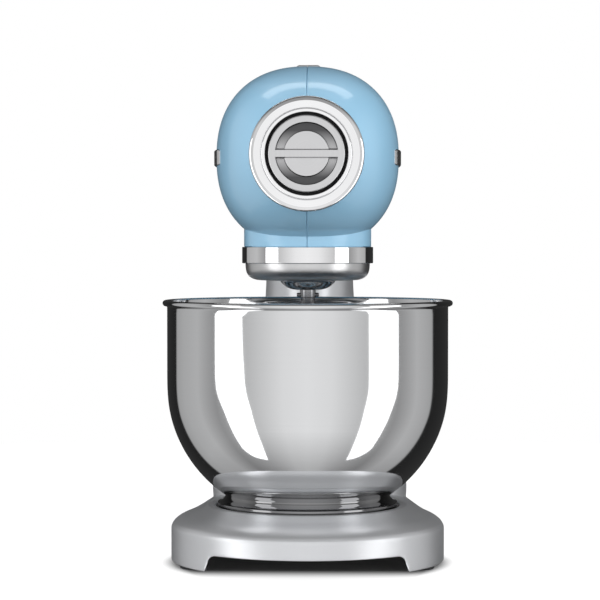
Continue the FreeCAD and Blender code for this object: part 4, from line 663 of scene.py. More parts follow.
for source, target in (
        (marks_in.outputs["Coordinates"], shift.inputs[0]), (marks_in.outputs["Centre"], shift.inputs[1]),
        (shift.outputs["Vector"], flatten.inputs[0]), (marks_in.outputs["Across"], flatten.inputs[1]),
        (flatten.outputs["Vector"], reach.inputs[0]),
        (shift.outputs["Vector"], rise.inputs[0]), (flatten.outputs["Vector"], rise.inputs[1]),
        (rise.outputs["Vector"], climb.inputs[0]),
        (reach.outputs["Value"], track.inputs["X"]), (climb.outputs["Value"], track.inputs["Y"]),
        (track.outputs["Vector"], rings.inputs["Vector"]),
        (marks_in.outputs["Ring Scale"], rings.inputs["Scale"]),
        (marks_in.outputs["Coordinates"], haze.inputs["Vector"]),
        (rings.outputs["Fac"], marks_out.inputs["Rings"]), (haze.outputs["Fac"], marks_out.inputs["Haze"])):
    marks_group.links.new(source, target)


def turned_metal(name, dark, light, rough, centre, axis="Z", ring_scale=1500.0, depth=0.002):
    """Metal with rings left by turning or polishing about an axis, and a slight haze in its gloss."""
    material, tree, shader = node_tree(name)
    across = (1.0, 1.0, 0.0) if axis == "Z" else (1.0, 0.0, 1.0)
    marks = add_group(tree, marks_group, Centre=[value * MM for value in centre], Across=across,
                      Ring_Scale=ring_scale)
    tree.links.new(tint(tree, marks.outputs["Rings"], dark, light), shader.inputs["Base Color"])
    tree.links.new(spread(tree, marks.outputs["Haze"], *rough), shader.inputs["Roughness"])
    shader.inputs["Metallic"].default_value = 1.0
    emboss(tree, shader, marks.outputs["Rings"], depth)
    return material


satin_button = turned_metal("satin_button", (0.52, 0.52, 0.53), (0.62, 0.62, 0.63), (0.28, 0.36),
                            BUTTON_AXIS, "Y")
ground_steel = turned_metal("ground_steel", (0.50, 0.50, 0.51), (0.60, 0.60, 0.61), (0.32, 0.40),
                            (0.0, *HINGE))
button_piece = new_piece("push_button", *lathe(rounded(BUTTON_PROFILE), BUTTON_AXIS, "Y", 64), satin_button)
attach(button_piece, "release")
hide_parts("release_button")
for hidden in ("lock_bolt", "hinge_pin"):
    dress(hidden, ground_steel)

# Lock spring: four turns of zinc-plated wire that push the button out again.
# It sits on the floor of the button's well; its turns close up as the button is pressed, but the mesh is made
# at one fixed length.
SPRING_RADIUS = 6.6
SPRING_WIRE = 0.7
SPRING_TURNS = 4
SPRING_STEPS = 112
SPRING_SIDES = 12

spring_low, spring_high = (corner[1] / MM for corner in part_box("lock_spring"))
spring_rows = []
for step in range(SPRING_STEPS + 1):
    way = math.tau * SPRING_TURNS * step / SPRING_STEPS
    middle = spring_low + SPRING_WIRE + (spring_high - spring_low - 2 * SPRING_WIRE) * step / SPRING_STEPS
    ring = []
    for side in range(SPRING_SIDES):
        round_wire = math.tau * side / SPRING_SIDES
        reach = SPRING_RADIUS + SPRING_WIRE * math.cos(round_wire)
        ring.append((reach * math.cos(way), middle + SPRING_WIRE * math.sin(round_wire),
                     BUTTON_AXIS[2] + reach * math.sin(way)))
    spring_rows.append(ring)
spring_piece = new_piece("return_spring", *skin(spring_rows), zinc_plate)
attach(spring_piece, "stand")
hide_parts("lock_spring")
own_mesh(spring_piece)

# Bowl seat: a steel plate screwed into the top of the base, with three hooked lugs for the bowl's bayonet.
# It shows as a thin bright line round the bowl's foot, and whole when the bowl is off.
BOWL_AXIS = (0.0, BOWL_Y, 0.0)
seat_steel = turned_metal("seat_steel", (0.58, 0.58, 0.58), (0.66, 0.66, 0.66), (0.16, 0.22), BOWL_AXIS)
dress("bowl_seat_plate", seat_steel)

# Bowl: spun from one sheet of steel, mirror polished outside, with a rolled rim and a round bottom.
# It stands on a turned foot ring whose tabs lock under the seat's lugs.
BOWL_RADIUS = 107.0
BOWL_WALL = 1.2
BEND_Z = 135.0
BEND_RADIUS = 100.5
EASE_LOW = 110.0
EASE_HIGH = 150.0
EASE_STEPS = 20
BOWL_FLOOR = 52.0
BOTTOM_STATIONS = (0.0, 30.0, 58.0)
WALL_STATIONS = (165.0, 180.0, 190.0, 194.4)
RIM_TOP = 200.0
RIM_LOW = 195.5
RIM_RADIUS = 110.5
RIM_UNDER = [(0.15, 195.1), (0.6, 195.45)]
RIM_OVER = [(-0.2, 199.9), (-0.8, 199.5), (-BOWL_WALL, 198.6), (-BOWL_WALL, 190.0), (-BOWL_WALL, 170.0)]


def bowl_bend(radius, steps, floor):
    """The round bottom, from the floor up to the wall, which it joins in an easing curve."""
    centre = BOWL_RADIUS - BEND_RADIUS
    start = math.asin((BEND_Z - floor) / radius)
    end = math.asin((BEND_Z - EASE_LOW) / radius)
    turns = [start + (end - start) * step / steps for step in range(steps + 1)]
    bend = [(centre + radius * math.cos(turn), BEND_Z - radius * math.sin(turn)) for turn in turns]
    span = EASE_HIGH - EASE_LOW
    inset = bend[-1][0] - centre - radius
    cubic = -span * math.tan(end) - 2 * inset
    for step in range(1, EASE_STEPS + 1):
        left = 1 - step / EASE_STEPS
        reach = centre + radius + (inset - cubic) * left ** 2 + cubic * left ** 3
        bend.append((reach, EASE_HIGH - span * left))
    return bend


rim_middle = (RIM_TOP + RIM_LOW) / 2
rim_round = (RIM_TOP - RIM_LOW) / 2
rim_bead = [(RIM_RADIUS - rim_round + rim_round * math.sin(math.radians(angle)),
             rim_middle - rim_round * math.cos(math.radians(angle))) for angle in range(0, 181, 15)]
bowl_profile = [(radius, BOWL_FLOOR) for radius in BOTTOM_STATIONS]
bowl_profile += bowl_bend(BEND_RADIUS, 60, BOWL_FLOOR)
bowl_profile += [(BOWL_RADIUS, z) for z in WALL_STATIONS]
bowl_profile += [(BOWL_RADIUS + out, z) for out, z in RIM_UNDER] + rim_bead
bowl_profile += [(BOWL_RADIUS + out, z) for out, z in RIM_OVER]
bowl_profile += list(reversed(bowl_bend(BEND_RADIUS - BOWL_WALL, 48, BOWL_FLOOR + BOWL_WALL)))
bowl_profile += [(40.0, BOWL_FLOOR + BOWL_WALL), (0.0, BOWL_FLOOR + BOWL_WALL)]
polished_steel = turned_metal("polished_steel", (0.715, 0.72, 0.73), (0.735, 0.74, 0.75), (0.05, 0.075),
                              BOWL_AXIS, ring_scale=700.0, depth=0.0003)
bowl_piece = new_piece("mixing_bowl", *lathe(bowl_profile, BOWL_AXIS, "Z", 160), polished_steel, 50.0)
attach(bowl_piece, "bowl")
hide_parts("bowl")

FOOT_RADIUS = 68.5
FOOT_BORE = 56.0
FOOT_LOW = 43.5
FOOT_LIP = 46.4
FOOT_FLARE = ((69.37, 53.35), 7.0, (262.9, 191.1))
FLARE_STEPS = 14
TAB_INNER = 49.0
TAB_OUTER = FOOT_BORE + 2.0
TAB_LOW = 44.2
TAB_HIGH = 47.6
TAB_HALF = math.radians(18.0)
TAB_STEPS = 8
(flare_r, flare_z), flare_radius, (flare_start, flare_end) = FOOT_FLARE
flare_turns = [math.radians(flare_start + (flare_end - flare_start) * step / FLARE_STEPS)
               for step in range(1, FLARE_STEPS + 1)]
foot_flare = [(flare_r + flare_radius * math.cos(turn), flare_z + flare_radius * math.sin(turn))
              for turn in flare_turns]
foot_profile = rounded([(FOOT_BORE, FOOT_LOW, 0.4), (FOOT_RADIUS, FOOT_LOW, 1.2),
                        (FOOT_RADIUS, FOOT_LIP, 0.4), *foot_flare, (FOOT_BORE, BOWL_FLOOR)], True)
foot_steel = turned_metal("foot_steel", (0.24, 0.24, 0.245), (0.28, 0.28, 0.285), (0.05, 0.08), BOWL_AXIS,
                          ring_scale=900.0, depth=0.0003)
foot_piece = new_piece("bowl_foot_ring", *lathe(foot_profile, BOWL_AXIS, "Z", 160, True), foot_steel)
tab_section = [(TAB_INNER, TAB_LOW), (TAB_OUTER, TAB_LOW), (TAB_OUTER, TAB_HIGH), (TAB_INNER, TAB_HIGH)]
tabs = []
for number in range(3):
    middle = math.radians(90.0 + 120.0 * number)
    turns = [middle + TAB_HALF * step / TAB_STEPS for step in range(-TAB_STEPS, TAB_STEPS + 1)]
    rows = [[(radius * math.cos(turn), BOWL_Y + radius * math.sin(turn), height)
             for radius, height in tab_section] for turn in turns]
    tabs.append(new_piece(f"tab_{number}", *skin(rows), foot_steel))
carve(foot_piece, tabs, "UNION")
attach(foot_piece, "bowl")
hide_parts("bowl_foot")

# Head shells: two enamelled castings, left and right, that meet on a seam over the top and down the collar.
# Together they make a ball at the front that runs back into a long tail, with a short collar under the ball.
HEAD_AXIS = (0.0, 0.0, HEAD_Z)
SHELL_WALL = 3.0
NOSE_Y = BOWL_Y - NOSE_LENGTH
NOSE_STEPS = 40
TAIL_STEPS = 40
END_STEPS = 30
HALF_STEPS = 72
TIP_RADIUS = 4.0
NOSE_OPENING = 33.6
NOSE_WAY = (-180.0, -160.0)
COLLAR_RADIUS = 48.4
COLLAR_LOW = 240.4
COLLAR_ROWS = [(-0.6, COLLAR_LOW), (-0.18, COLLAR_LOW + 0.18), (0.0, COLLAR_LOW + 0.6),
               (0.0, 252.0), (0.0, 264.0), (0.0, 290.0)]
COLLAR_BORE = 45.4
COLLAR_BORE_TOP = 263.0
COLLAR_CUT_LOW = 220.0
SKIRT_SEAT = 50.2
LUG_WAY = ((-18.6, 95.0, 225.0), (18.6, 129.0, 268.0))
SEAM = [(0.05, 0.9), (0.16, 0.5), (0.34, 0.2), (0.6, 0.05), (0.9, 0.0)]
SQUARENESS = 2.3
SWELL_DRAW = 0.01
SWELL_FRONT = (-168.0, -125.0)
SWELL_BACK = (-40.0, 30.0)
LEVER_SLOPE = math.radians(3.434)
LEVER_SPOT = (-18.0, 376.382)
SLOT_WIDTH = (-3.5, 3.5)
SLOT_CORNERS = ((-6.0, -12.0), (56.0, -12.0), (56.0, 9.0), (-6.0, 9.0))


def head_stations(inset):
    """Front-to-back stations and radii of the head, drawn in by an inset."""
    face = NOSE_Y + inset
    stations = [(0.0, face), (NOSE_RADIUS * 0.5, face), (NOSE_RADIUS - inset - 1.5, face)]
    nose_end = math.acos((BOWL_Y - face) / (NOSE_CURVE - inset))
    for step in range(NOSE_STEPS + 1):
        angle = nose_end + (math.pi / 2 - nose_end) * step / NOSE_STEPS
        stations.append((HEAD_RADIUS - NOSE_CURVE + (NOSE_CURVE - inset) * math.sin(angle),
                         BOWL_Y - (NOSE_CURVE - inset) * math.cos(angle)))
    tail_turn = math.asin(TAIL_LENGTH / (TAIL_CURVE - TAIL_RADIUS))
    for step in range(1, TAIL_STEPS + 1):
        angle = tail_turn * step / TAIL_STEPS
        stations.append((HEAD_RADIUS - TAIL_CURVE + (TAIL_CURVE - inset) * math.cos(angle),
                         BOWL_Y + (TAIL_CURVE - inset) * math.sin(angle)))
    centre_y = BOWL_Y + TAIL_LENGTH
    for step in range(1, END_STEPS + 1):
        angle = tail_turn + (math.pi / 2 - tail_turn) * step / END_STEPS
        stations.append(((TAIL_RADIUS - inset) * math.cos(angle),
                         centre_y + (TAIL_RADIUS - inset) * math.sin(angle)))
    return stations


def half_ring(radius, side):
    """Half a ring, from the top seam round one side to the bottom seam, with both seam edges eased."""
    eased = [(gap, radius - drop) for gap, drop in SEAM if gap < radius * 0.3]
    start = eased[-1][0] if eased else 0.0
    first = math.asin(min(start / max(radius, 0.001), 1.0))
    ring = [(gap * side, math.sqrt(max(reach ** 2 - gap ** 2, 0.0))) for gap, reach in eased[:-1]]
    sweep = [first + (math.pi - 2 * first) * step / HALF_STEPS for step in range(HALF_STEPS + 1)]
    ring += [(radius * math.sin(angle) * side, radius * math.cos(angle)) for angle in sweep]
    ring += [(x, -z) for x, z in reversed(ring[:len(eased[:-1])])]
    return ring


def eased_step(value, low, high):
    """A soft step from 0 to 1 between two values."""
    share = min(max((value - low) / (high - low), 0.0), 1.0)
    return share * share * (3.0 - 2.0 * share)


def fullness(x, z, y):
    """How far the ball's slightly squared section swells past a circle, in the direction of x and z."""
    share = eased_step(y, *SWELL_FRONT) * (1.0 - eased_step(y, *SWELL_BACK))
    power = 2.0 + (SQUARENESS - 2.0) * share
    length = math.hypot(x, z)
    bulge = (abs(x / length) ** power + abs(z / length) ** power) ** (-1.0 / power)
    return bulge * (1.0 - SWELL_DRAW * share)


def head_level(x, y, z):
    """Distance of a point from the head's skin, outwards, measured across the head's axis."""
    up = z - HEAD_Z
    return math.hypot(x, up) / fullness(x, up, y) - head_radius(y)


def head_half(name, side, material):
    """One half of the head as a solid."""
    rows = []
    for radius, y in head_stations(0.0):
        ring = half_ring(max(radius, TIP_RADIUS), side)
        shrink = radius / max(radius, TIP_RADIUS)
        row = []
        for x, z in ring:
            swell = fullness(x, z, y) * shrink
            row.append((x * swell + SEAM[0][0] * side * (1 - shrink), y, HEAD_Z + z * swell))
        rows.append(row)
    return new_piece(name, *skin(rows), material)


def collar_half(name, side, material):
    """One half of the collar as a solid."""
    rows = [[(x, BOWL_Y + y, z) for x, y in half_ring(COLLAR_RADIUS + out, side)] for out, z in COLLAR_ROWS]
    return new_piece(name, *skin(rows), material)


def lever_point(x, along, up):
    """A point of the lever or its slot, from the lever's own leaning frame."""
    return (x, LEVER_SPOT[0] + along * math.cos(LEVER_SLOPE) + up * math.sin(LEVER_SLOPE),
            LEVER_SPOT[1] + up * math.cos(LEVER_SLOPE) - along * math.sin(LEVER_SLOPE))


def lever_slot(material):
    """The slot in the top of the head that the lever's stem slides along."""
    ends = [[lever_point(x, along, up) for along, up in SLOT_CORNERS] for x in SLOT_WIDTH]
    return new_piece("lever_slot", *skin(ends), material)


def shell_normal(point, middle):
    """Outward direction of the painted ball, tail and collar."""
    if min(abs(point.x), abs(middle.x)) < SEAM[-1][0] - 0.05:
        return None
    if head_level(*middle) > -1.0 and middle.y > NOSE_Y + 0.3:
        if middle.y - BOWL_Y > TAIL_LENGTH:
            return Vector((point.x, point.y - BOWL_Y - TAIL_LENGTH, point.z - HEAD_Z)).normalized()
        step = 0.05
        slopes = []
        for way in (Vector((step, 0.0, 0.0)), Vector((0.0, step, 0.0)), Vector((0.0, 0.0, step))):
            slopes.append(head_level(*(point + way)) - head_level(*(point - way)))
        return Vector(slopes).normalized()
    reach = math.hypot(middle.x, middle.y - BOWL_Y)
    if abs(reach - COLLAR_RADIUS) < 0.2 and middle.z > COLLAR_LOW + 0.55:
        return Vector((point.x, point.y - BOWL_Y, 0.0)).normalized()
    return None


enamel, enamel_tree, enamel_shader = node_tree("blue_enamel")
enamel_grain = add_group(enamel_tree, grain_group, Speckle_Scale=420.0, Blotch_Scale=9.0)
enamel_blotch = enamel_grain.outputs["Blotch"]
enamel_blue = tint(enamel_tree, enamel_blotch, (0.285, 0.525, 0.715), (0.305, 0.55, 0.74))
enamel_sheen = spread(enamel_tree, enamel_blotch, 0.30, 0.36)
enamel_tree.links.new(enamel_blue, enamel_shader.inputs["Base Color"])
enamel_tree.links.new(enamel_sheen, enamel_shader.inputs["Roughness"])
enamel_shader.inputs["Coat Weight"].default_value = 0.6
enamel_shader.inputs["Coat Roughness"].default_value = 0.06
emboss(enamel_tree, enamel_shader, enamel_grain.outputs["Speckle"], 0.004)
for label, side in (("left", -1.0), ("right", 1.0)):
    shell = head_half(f"head_half_{label}", side, enamel)
    carve(shell, [collar_half("collar", side, enamel)], "UNION")
    inside = [(max(radius, 0.0), y) for radius, y in head_stations(SHELL_WALL)]
    carve(shell, [
        new_piece("hollow", *lathe(inside, HEAD_AXIS, "Y", 96), enamel),
        plug("bore", COLLAR_BORE, COLLAR_CUT_LOW, COLLAR_BORE_TOP, BOWL_AXIS, "Z", 128, enamel),
        plug("skirt_seat", SKIRT_SEAT, COLLAR_CUT_LOW, COLLAR_LOW, BOWL_AXIS, "Z", 128, enamel),
        plug("nose_way", NOSE_OPENING, *NOSE_WAY, HEAD_AXIS, "Y", 96, enamel),
        brick("lug_way", *LUG_WAY, enamel),
        lever_slot(enamel),
    ])
    true_normals(shell, shell_normal)
    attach(shell, "head")
    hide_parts(f"head_shell_{label}")

# Side trims: a slim plated bar along each side of the head, snapped over the shell screws.
# Each is pressed from strip, with rolled long edges and rounded ends, and follows the head's curve.
TRIM_LOW = 301.5
TRIM_HIGH = 313.5
TRIM_FRONT = -122.0
TRIM_BACK = 34.0
TRIM_PROUD = 1.8
TRIM_ROUND = 1.1
TRIM_END = 5.0
TRIM_STEPS = 60
plated_trim = turned_metal("bright_plate", (0.80, 0.80, 0.81), (0.84, 0.84, 0.85), (0.20, 0.28),
                           (0.0, BOWL_Y, HEAD_Z), ring_scale=500.0, depth=0.0004)


def trim_bar(name, side):
    """One bar, as cross sections along the head."""
    middle = (TRIM_LOW + TRIM_HIGH) / 2
    half = (TRIM_HIGH - TRIM_LOW) / 2
    section = rounded([(-half, 0.0), (-half, TRIM_PROUD, TRIM_ROUND),
                       (half, TRIM_PROUD, TRIM_ROUND), (half, 0.0)])
    rows = []
    for step in range(TRIM_STEPS + 1):
        share = step / TRIM_STEPS
        y = TRIM_FRONT + (TRIM_BACK - TRIM_FRONT) * share
        ends = min(y - TRIM_FRONT, TRIM_BACK - y)
        grow = math.sqrt(max(1.0 - (1.0 - min(ends / TRIM_END, 1.0)) ** 2, 0.0)) * 0.9 + 0.1
        ring = []
        for up, out in section:
            z = middle + up * (0.8 + 0.2 * grow)
            x = head_radius(y)
            for _ in range(8):
                x += out * grow - head_level(x, y, z)
            ring.append((side * x, y, z))
        rows.append(ring)
    return new_piece(name, *skin(rows), plated_trim, 50.0)


for label, side in (("left", -1.0), ("right", 1.0)):
    bar = trim_bar(f"trim_{label}", side)
    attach(bar, "head")
    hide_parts(f"side_trim_{label}")
for hidden in ("shell_screws", "ring_screws", "motor_screws"):
    dress(hidden, zinc_plate)

# Front hub: a broad plated ring on the nose, the plated socket inside it and a rubber gasket at its floor.
# Attachments slide into the socket once the grip cover is pulled off; a square in the main shaft drives them.
RING_PROFILE = [(33.05, NOSE_Y), (33.05, -174.0, 0.9), (38.5, -175.0, 0.9), (NOSE_RADIUS, -173.44, 2.2),
                (NOSE_RADIUS, NOSE_Y)]
SOCKET_PROFILE = [(30.25, -160.0), (30.25, -174.2, 0.5), (33.0, -174.2, 0.8), (33.0, -157.0), (10.0, -157.0),
                  (10.0, -160.0)]

ring_chrome = turned_metal("ring_chrome", (0.90, 0.90, 0.91), (0.94, 0.94, 0.95), (0.03, 0.05), HEAD_AXIS,
                           "Y", 700.0, 0.0004)
ring_piece = new_piece("hub_ring", *lathe(rounded(RING_PROFILE, True), HEAD_AXIS, "Y", 128, True),
                       ring_chrome, 50.0)
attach(ring_piece, "head")
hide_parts("front_trim_ring")
socket_piece = new_piece("hub_socket_cup", *lathe(rounded(SOCKET_PROFILE, True), HEAD_AXIS, "Y", 128, True),
                         ring_chrome, 50.0)
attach(socket_piece, "head")
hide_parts("hub_socket")
dress("hub_gasket", black_rubber)

# Hub cover: a thick satin disc that closes the socket, with a ring groove crossed by a grip bar.
# It is cast alloy, turned on the face, and pulls straight off forwards.
COVER_RADIUS = 27.75
COVER_FACE = -178.0
COVER_PROFILE = [(0.0, COVER_FACE), (COVER_RADIUS, COVER_FACE, 0.9), (COVER_RADIUS, -164.2), (25.9, -164.2),
                 (25.9, -160.4), (21.0, -160.4), (21.0, -168.6), (0.0, -168.6)]
GROOVE_INNER = 16.4
GROOVE_OUTER = 22.6
GROOVE_FLOOR = -171.5
FIELD_FACE = -176.8
GRIP_HALF = 3.1
GRIP_SLOPE = (-0.6, 0.5)
GRIP_REACH = 30.0
GROOVE_ABOVE = -180.0
# The groove's dark colour and the limits below it are painted shade in the recess, not a coat the cover has.
GROOVE_PAINTED_SHADE = (0.105, 0.105, 0.108)
PAINTED_SHADE_DEPTH = (-176.2, -174.0)
PAINTED_SHADE_BACK = (-171.2, -170.8)
PAINTED_SHADE_EDGE = (22.9, 23.5)
PAINTED_SHADE_FADE = (2.0, 17.0)
PAINTED_SHADE_LEAST = 0.1

satin_cover = turned_metal("satin_cover", (0.66, 0.66, 0.67), (0.74, 0.74, 0.75), (0.34, 0.42), HEAD_AXIS,
                           "Y", 1800.0, 0.004)
cover_piece = new_piece("grip_cover", *lathe(rounded(COVER_PROFILE), HEAD_AXIS, "Y", 128), satin_cover)
cover_tree = satin_cover.node_tree
cover_shader = cover_tree.nodes["Principled BSDF"]
cover_shade = cover_shader.inputs["Base Color"].links[0].from_socket


def sum_node(tree, operation, first, second=None):
    """One step of arithmetic in a tree, on numbers or on the outputs of other nodes."""
    step = tree.nodes.new("ShaderNodeMath")
    step.operation = operation
    for socket, value in zip(step.inputs, (first, second)):
        if isinstance(value, float):
            socket.default_value = value
        elif value is not None:
            tree.links.new(value, socket)
    return step.outputs["Value"]


def cover_mask(source, limits, start=0.0, end=1.0):
    """A mask that goes from start to end between two limits in millimetres."""
    ramp = cover_tree.nodes.new("ShaderNodeMapRange")
    for end_name, size in zip(("From Min", "From Max"), limits):
        ramp.inputs[end_name].default_value = size * MM
    ramp.inputs["To Min"].default_value = start
    ramp.inputs["To Max"].default_value = end
    cover_tree.links.new(source, ramp.inputs["Value"])
    return ramp.outputs["Result"]


# Painted shade darkens the groove's colour, more the deeper it lies, most at the groove's top and bottom and
# least where it meets the bar.
cover_split = cover_tree.nodes.new("ShaderNodeSeparateXYZ")
cover_place = cover_tree.nodes.new("ShaderNodeTexCoord")
cover_tree.links.new(cover_place.outputs["Object"], cover_split.inputs["Vector"])
cover_x, cover_y, cover_z = cover_split.outputs
cover_rise = sum_node(cover_tree, "SUBTRACT", cover_z, HEAD_Z * MM)
cover_squares = [sum_node(cover_tree, "MULTIPLY", side, side) for side in (cover_x, cover_rise)]
cover_reach = sum_node(cover_tree, "SQRT", sum_node(cover_tree, "ADD", *cover_squares))
painted_shade_mask = cover_mask(cover_y, PAINTED_SHADE_DEPTH)
for limit in (cover_mask(cover_y, PAINTED_SHADE_BACK, 1.0, 0.0), cover_mask(cover_reach, PAINTED_SHADE_EDGE, 1.0, 0.0),
              cover_mask(sum_node(cover_tree, "ABSOLUTE", cover_rise), PAINTED_SHADE_FADE, PAINTED_SHADE_LEAST)):
    painted_shade_mask = sum_node(cover_tree, "MULTIPLY", painted_shade_mask, limit)
cover_mix = cover_tree.nodes.new("ShaderNodeMix")
cover_mix.data_type = "RGBA"
cover_mix.inputs[7].default_value = (*GROOVE_PAINTED_SHADE, 1.0)
for source, target in ((painted_shade_mask, cover_mix.inputs[0]), (cover_shade, cover_mix.inputs[6]),
                       (cover_mix.outputs[2], cover_shader.inputs["Base Color"])):
    cover_tree.links.new(source, target)
groove_profile = [(0.0, FIELD_FACE), (GROOVE_INNER, FIELD_FACE, 0.4), (GROOVE_INNER, GROOVE_FLOOR, 0.8),
                  (GROOVE_OUTER, GROOVE_FLOOR, 0.8), (GROOVE_OUTER + 0.3, GROOVE_ABOVE), (0.0, GROOVE_ABOVE)]
groove = new_piece("groove", *lathe(rounded(groove_profile), HEAD_AXIS, "Y", 128), satin_cover)
grip_top, grip_foot = (GRIP_HALF + slope for slope in GRIP_SLOPE)
grip_section = [(-182.0, grip_top), (COVER_FACE, grip_top),
                (FIELD_FACE + 0.4, grip_foot), (-165.0, grip_foot)]
grip_section += [(y, -half) for y, half in reversed(grip_section)]
grip_rows = [[(x, y, HEAD_Z + half) for y, half in grip_section] for x in (-GRIP_REACH, GRIP_REACH)]
carve(groove, [new_piece("grip", *skin(grip_rows), satin_cover)])
carve(cover_piece, [groove])
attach(cover_piece, "hub_cover")
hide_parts("hub_cover")

# Skirt ring: a plated band under the collar that hides the running gap of the planetary dish.
# It is drawn from steel strip and clipped to the gearbox plate.
SKIRT_PROFILE = [(48.1, 228.0, 0.3), (49.9, 228.0, 0.6), (49.9, 240.4, 0.5), (45.6, 240.4), (45.6, 238.9),
                 (48.1, 238.9)]
band_chrome = turned_metal("band_chrome", (0.84, 0.84, 0.85), (0.88, 0.88, 0.89), (0.03, 0.05), BOWL_AXIS,
                           ring_scale=900.0, depth=0.0004)
skirt_piece = new_piece("skirt_band", *lathe(rounded(SKIRT_PROFILE, True), BOWL_AXIS, "Z", 160, True),
                        band_chrome, 50.0)
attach(skirt_piece, "head")
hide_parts("skirt_ring")

# Planetary dish: a polished casting that turns under the head and carries the tool shaft off its middle.
# A small plated cap closes the shaft's bush from below.
TOOL_AXIS = (0.0, -69.5, 0.0)
DISH_LOW = 215.0
DISH_HIGH = 237.5
DISH_ROUND = [(33.6, DISH_LOW), (39.8, 215.6), (44.0, 217.6), (46.2, 220.4), (47.1, 223.6), (47.4, 227.5)]
DISH_TOP = [(47.4, 232.0), (47.4, DISH_HIGH, 0.5), (43.4, DISH_HIGH), (43.4, 226.0),
            (29.6, 220.0), (0.0, 220.0)]
CAP_ROUND = [(10.0, 207.4), (13.4, 208.1), (16.8, 209.6), (19.5, 211.9), (20.9, 213.6), (21.4, 215.2)]
CAP_BORE = 6.4
CAP_TOP = 219.6
BUSH_WAY = (8.5, 200.0, 245.0)
dish_alloy = turned_metal("polished_dish", (0.70, 0.70, 0.705), (0.76, 0.76, 0.765), (0.28, 0.34), BOWL_AXIS,
                          ring_scale=1100.0, depth=0.0012)
cap_chrome = turned_metal("cap_chrome", (0.82, 0.82, 0.83), (0.86, 0.86, 0.87), (0.16, 0.22), TOOL_AXIS,
                          ring_scale=900.0, depth=0.0006)
dish_profile = [(radius, DISH_LOW) for radius in (0.0, 20.0, 33.0)]
dish_profile += smooth_through(DISH_ROUND, 5) + rounded(DISH_TOP)
dish_piece = new_piece("planetary_dish", *lathe(dish_profile, BOWL_AXIS, "Z", 160), dish_alloy)
dish_form = dish_profile[:-5] + [(0.0, DISH_HIGH)]
carve(dish_piece, [plug("bush_way", *BUSH_WAY, TOOL_AXIS, "Z", 64, dish_alloy)])
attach(dish_piece, "carrier")
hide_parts("planet_carrier")
cap_profile = [(CAP_BORE, CAP_ROUND[0][1])] + smooth_through(CAP_ROUND, 6)
cap_profile += [(CAP_ROUND[-1][0], CAP_TOP), (CAP_BORE, CAP_TOP)]
cap_piece = new_piece("bush_cap", *lathe(cap_profile, TOOL_AXIS, "Z", 96, True), cap_chrome)
carve(cap_piece, [new_piece("dish_form", *lathe(dish_form, BOWL_AXIS, "Z", 160), dish_alloy)])
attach(cap_piece, "carrier")
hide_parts("tool_cap")

# Tool shaft: a ground steel spindle with a stepped, chamfered end and a cross pin that the tools hook onto.
# The planet gear on its hidden upper end makes it spin against the dish's turn.
SHAFT_PROFILE = [(0.0, 184.0), (5.5, 184.0, 0.9), (5.5, 201.0), (6.0, 201.5, 0.2), (6.0, 251.6), (0.0, 251.6)]
PIN_HALF = 8.5
PIN_END = [(0.0, 0.01), (0.0, 1.0), (0.2, 1.4), (0.6, 1.6)]
PIN_SIDES = 32
PIN_Z = 203.4
shaft_steel = turned_metal("shaft_steel", (0.26, 0.26, 0.27), (0.34, 0.34, 0.35), (0.12, 0.18), TOOL_AXIS,
                           ring_scale=1600.0, depth=0.002)
shaft_piece = new_piece("tool_spindle", *lathe(rounded(SHAFT_PROFILE), TOOL_AXIS, "Z", 64), shaft_steel)
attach(shaft_piece, "tool")
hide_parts("tool_shaft")
pin_turns = [2 * math.pi * step / PIN_SIDES for step in range(PIN_SIDES)]
pin_profile = [(inset - PIN_HALF, radius) for inset, radius in PIN_END]
pin_profile += [(PIN_HALF - inset, radius) for inset, radius in reversed(PIN_END)]
pin_rows = [[(reach, TOOL_AXIS[1] + radius * math.cos(turn), PIN_Z + radius * math.sin(turn))
             for turn in pin_turns] for reach, radius in pin_profile]
pin_piece = new_piece("cross_pin", *skin(pin_rows), shaft_steel)
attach(pin_piece, "tool")
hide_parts("tool_pin")

# Speed lever: a small satin thumb slider on top of the head; its stem moves the potentiometer below the slot.
# The knob is cast alloy with a crowned top and soft edges.
LEVER_HALF = 12.5
LEVER_LOW = 0.8
LEVER_SECTION = [(-LEVER_HALF, LEVER_LOW), (LEVER_HALF, LEVER_LOW, 0.5), (LEVER_HALF, 3.4, 2.0),
                 (8.0, 7.5, 3.0), (-8.0, 7.5, 3.0), (-LEVER_HALF, 3.4, 2.0)]
LEVER_ENDS = [(6.0, 0.9), (5.9, 0.45), (5.6, 0.15), (5.1, 0.0), (2.5, 0.0)]
LEVER_DRAW = 7.0
STEM = (3.0, 4.0, -8.5, 2.0)
SLIDER = (6.0, 6.0, -11.0, -8.0)
satin_lever = grained("satin_lever", (0.50, 0.50, 0.51), (0.60, 0.60, 0.61), 1.0, (0.26, 0.34), 2200.0, 0.006)
lever_outline = rounded(LEVER_SECTION, True)
knob_rows = []
for along, draw in [(-along, draw) for along, draw in LEVER_ENDS] + [(0.0, 0.0)] + LEVER_ENDS[::-1]:
    knob_rows.append([lever_point(x * (1 - draw / LEVER_HALF), along,
                                  LEVER_LOW + (up - LEVER_LOW) * (1 - draw / LEVER_DRAW))
                      for x, up in lever_outline])
lever_piece = new_piece("speed_slider", *skin(knob_rows), satin_lever)


def lever_block(name, half_width, half_length, low, high):
    """A plain block of the lever, below its knob."""
    corners = ((-half_width, -half_length), (half_width, -half_length), (half_width, half_length),
               (-half_width, half_length))
    ends = [[lever_point(x, along, up) for x, along in corners] for up in (low, high)]
    return new_piece(name, *skin(ends), satin_lever)


carve(lever_piece, [lever_block("stem", *STEM), lever_block("slider", *SLIDER)], "UNION")
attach(lever_piece, "lever")
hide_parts("speed_lever")

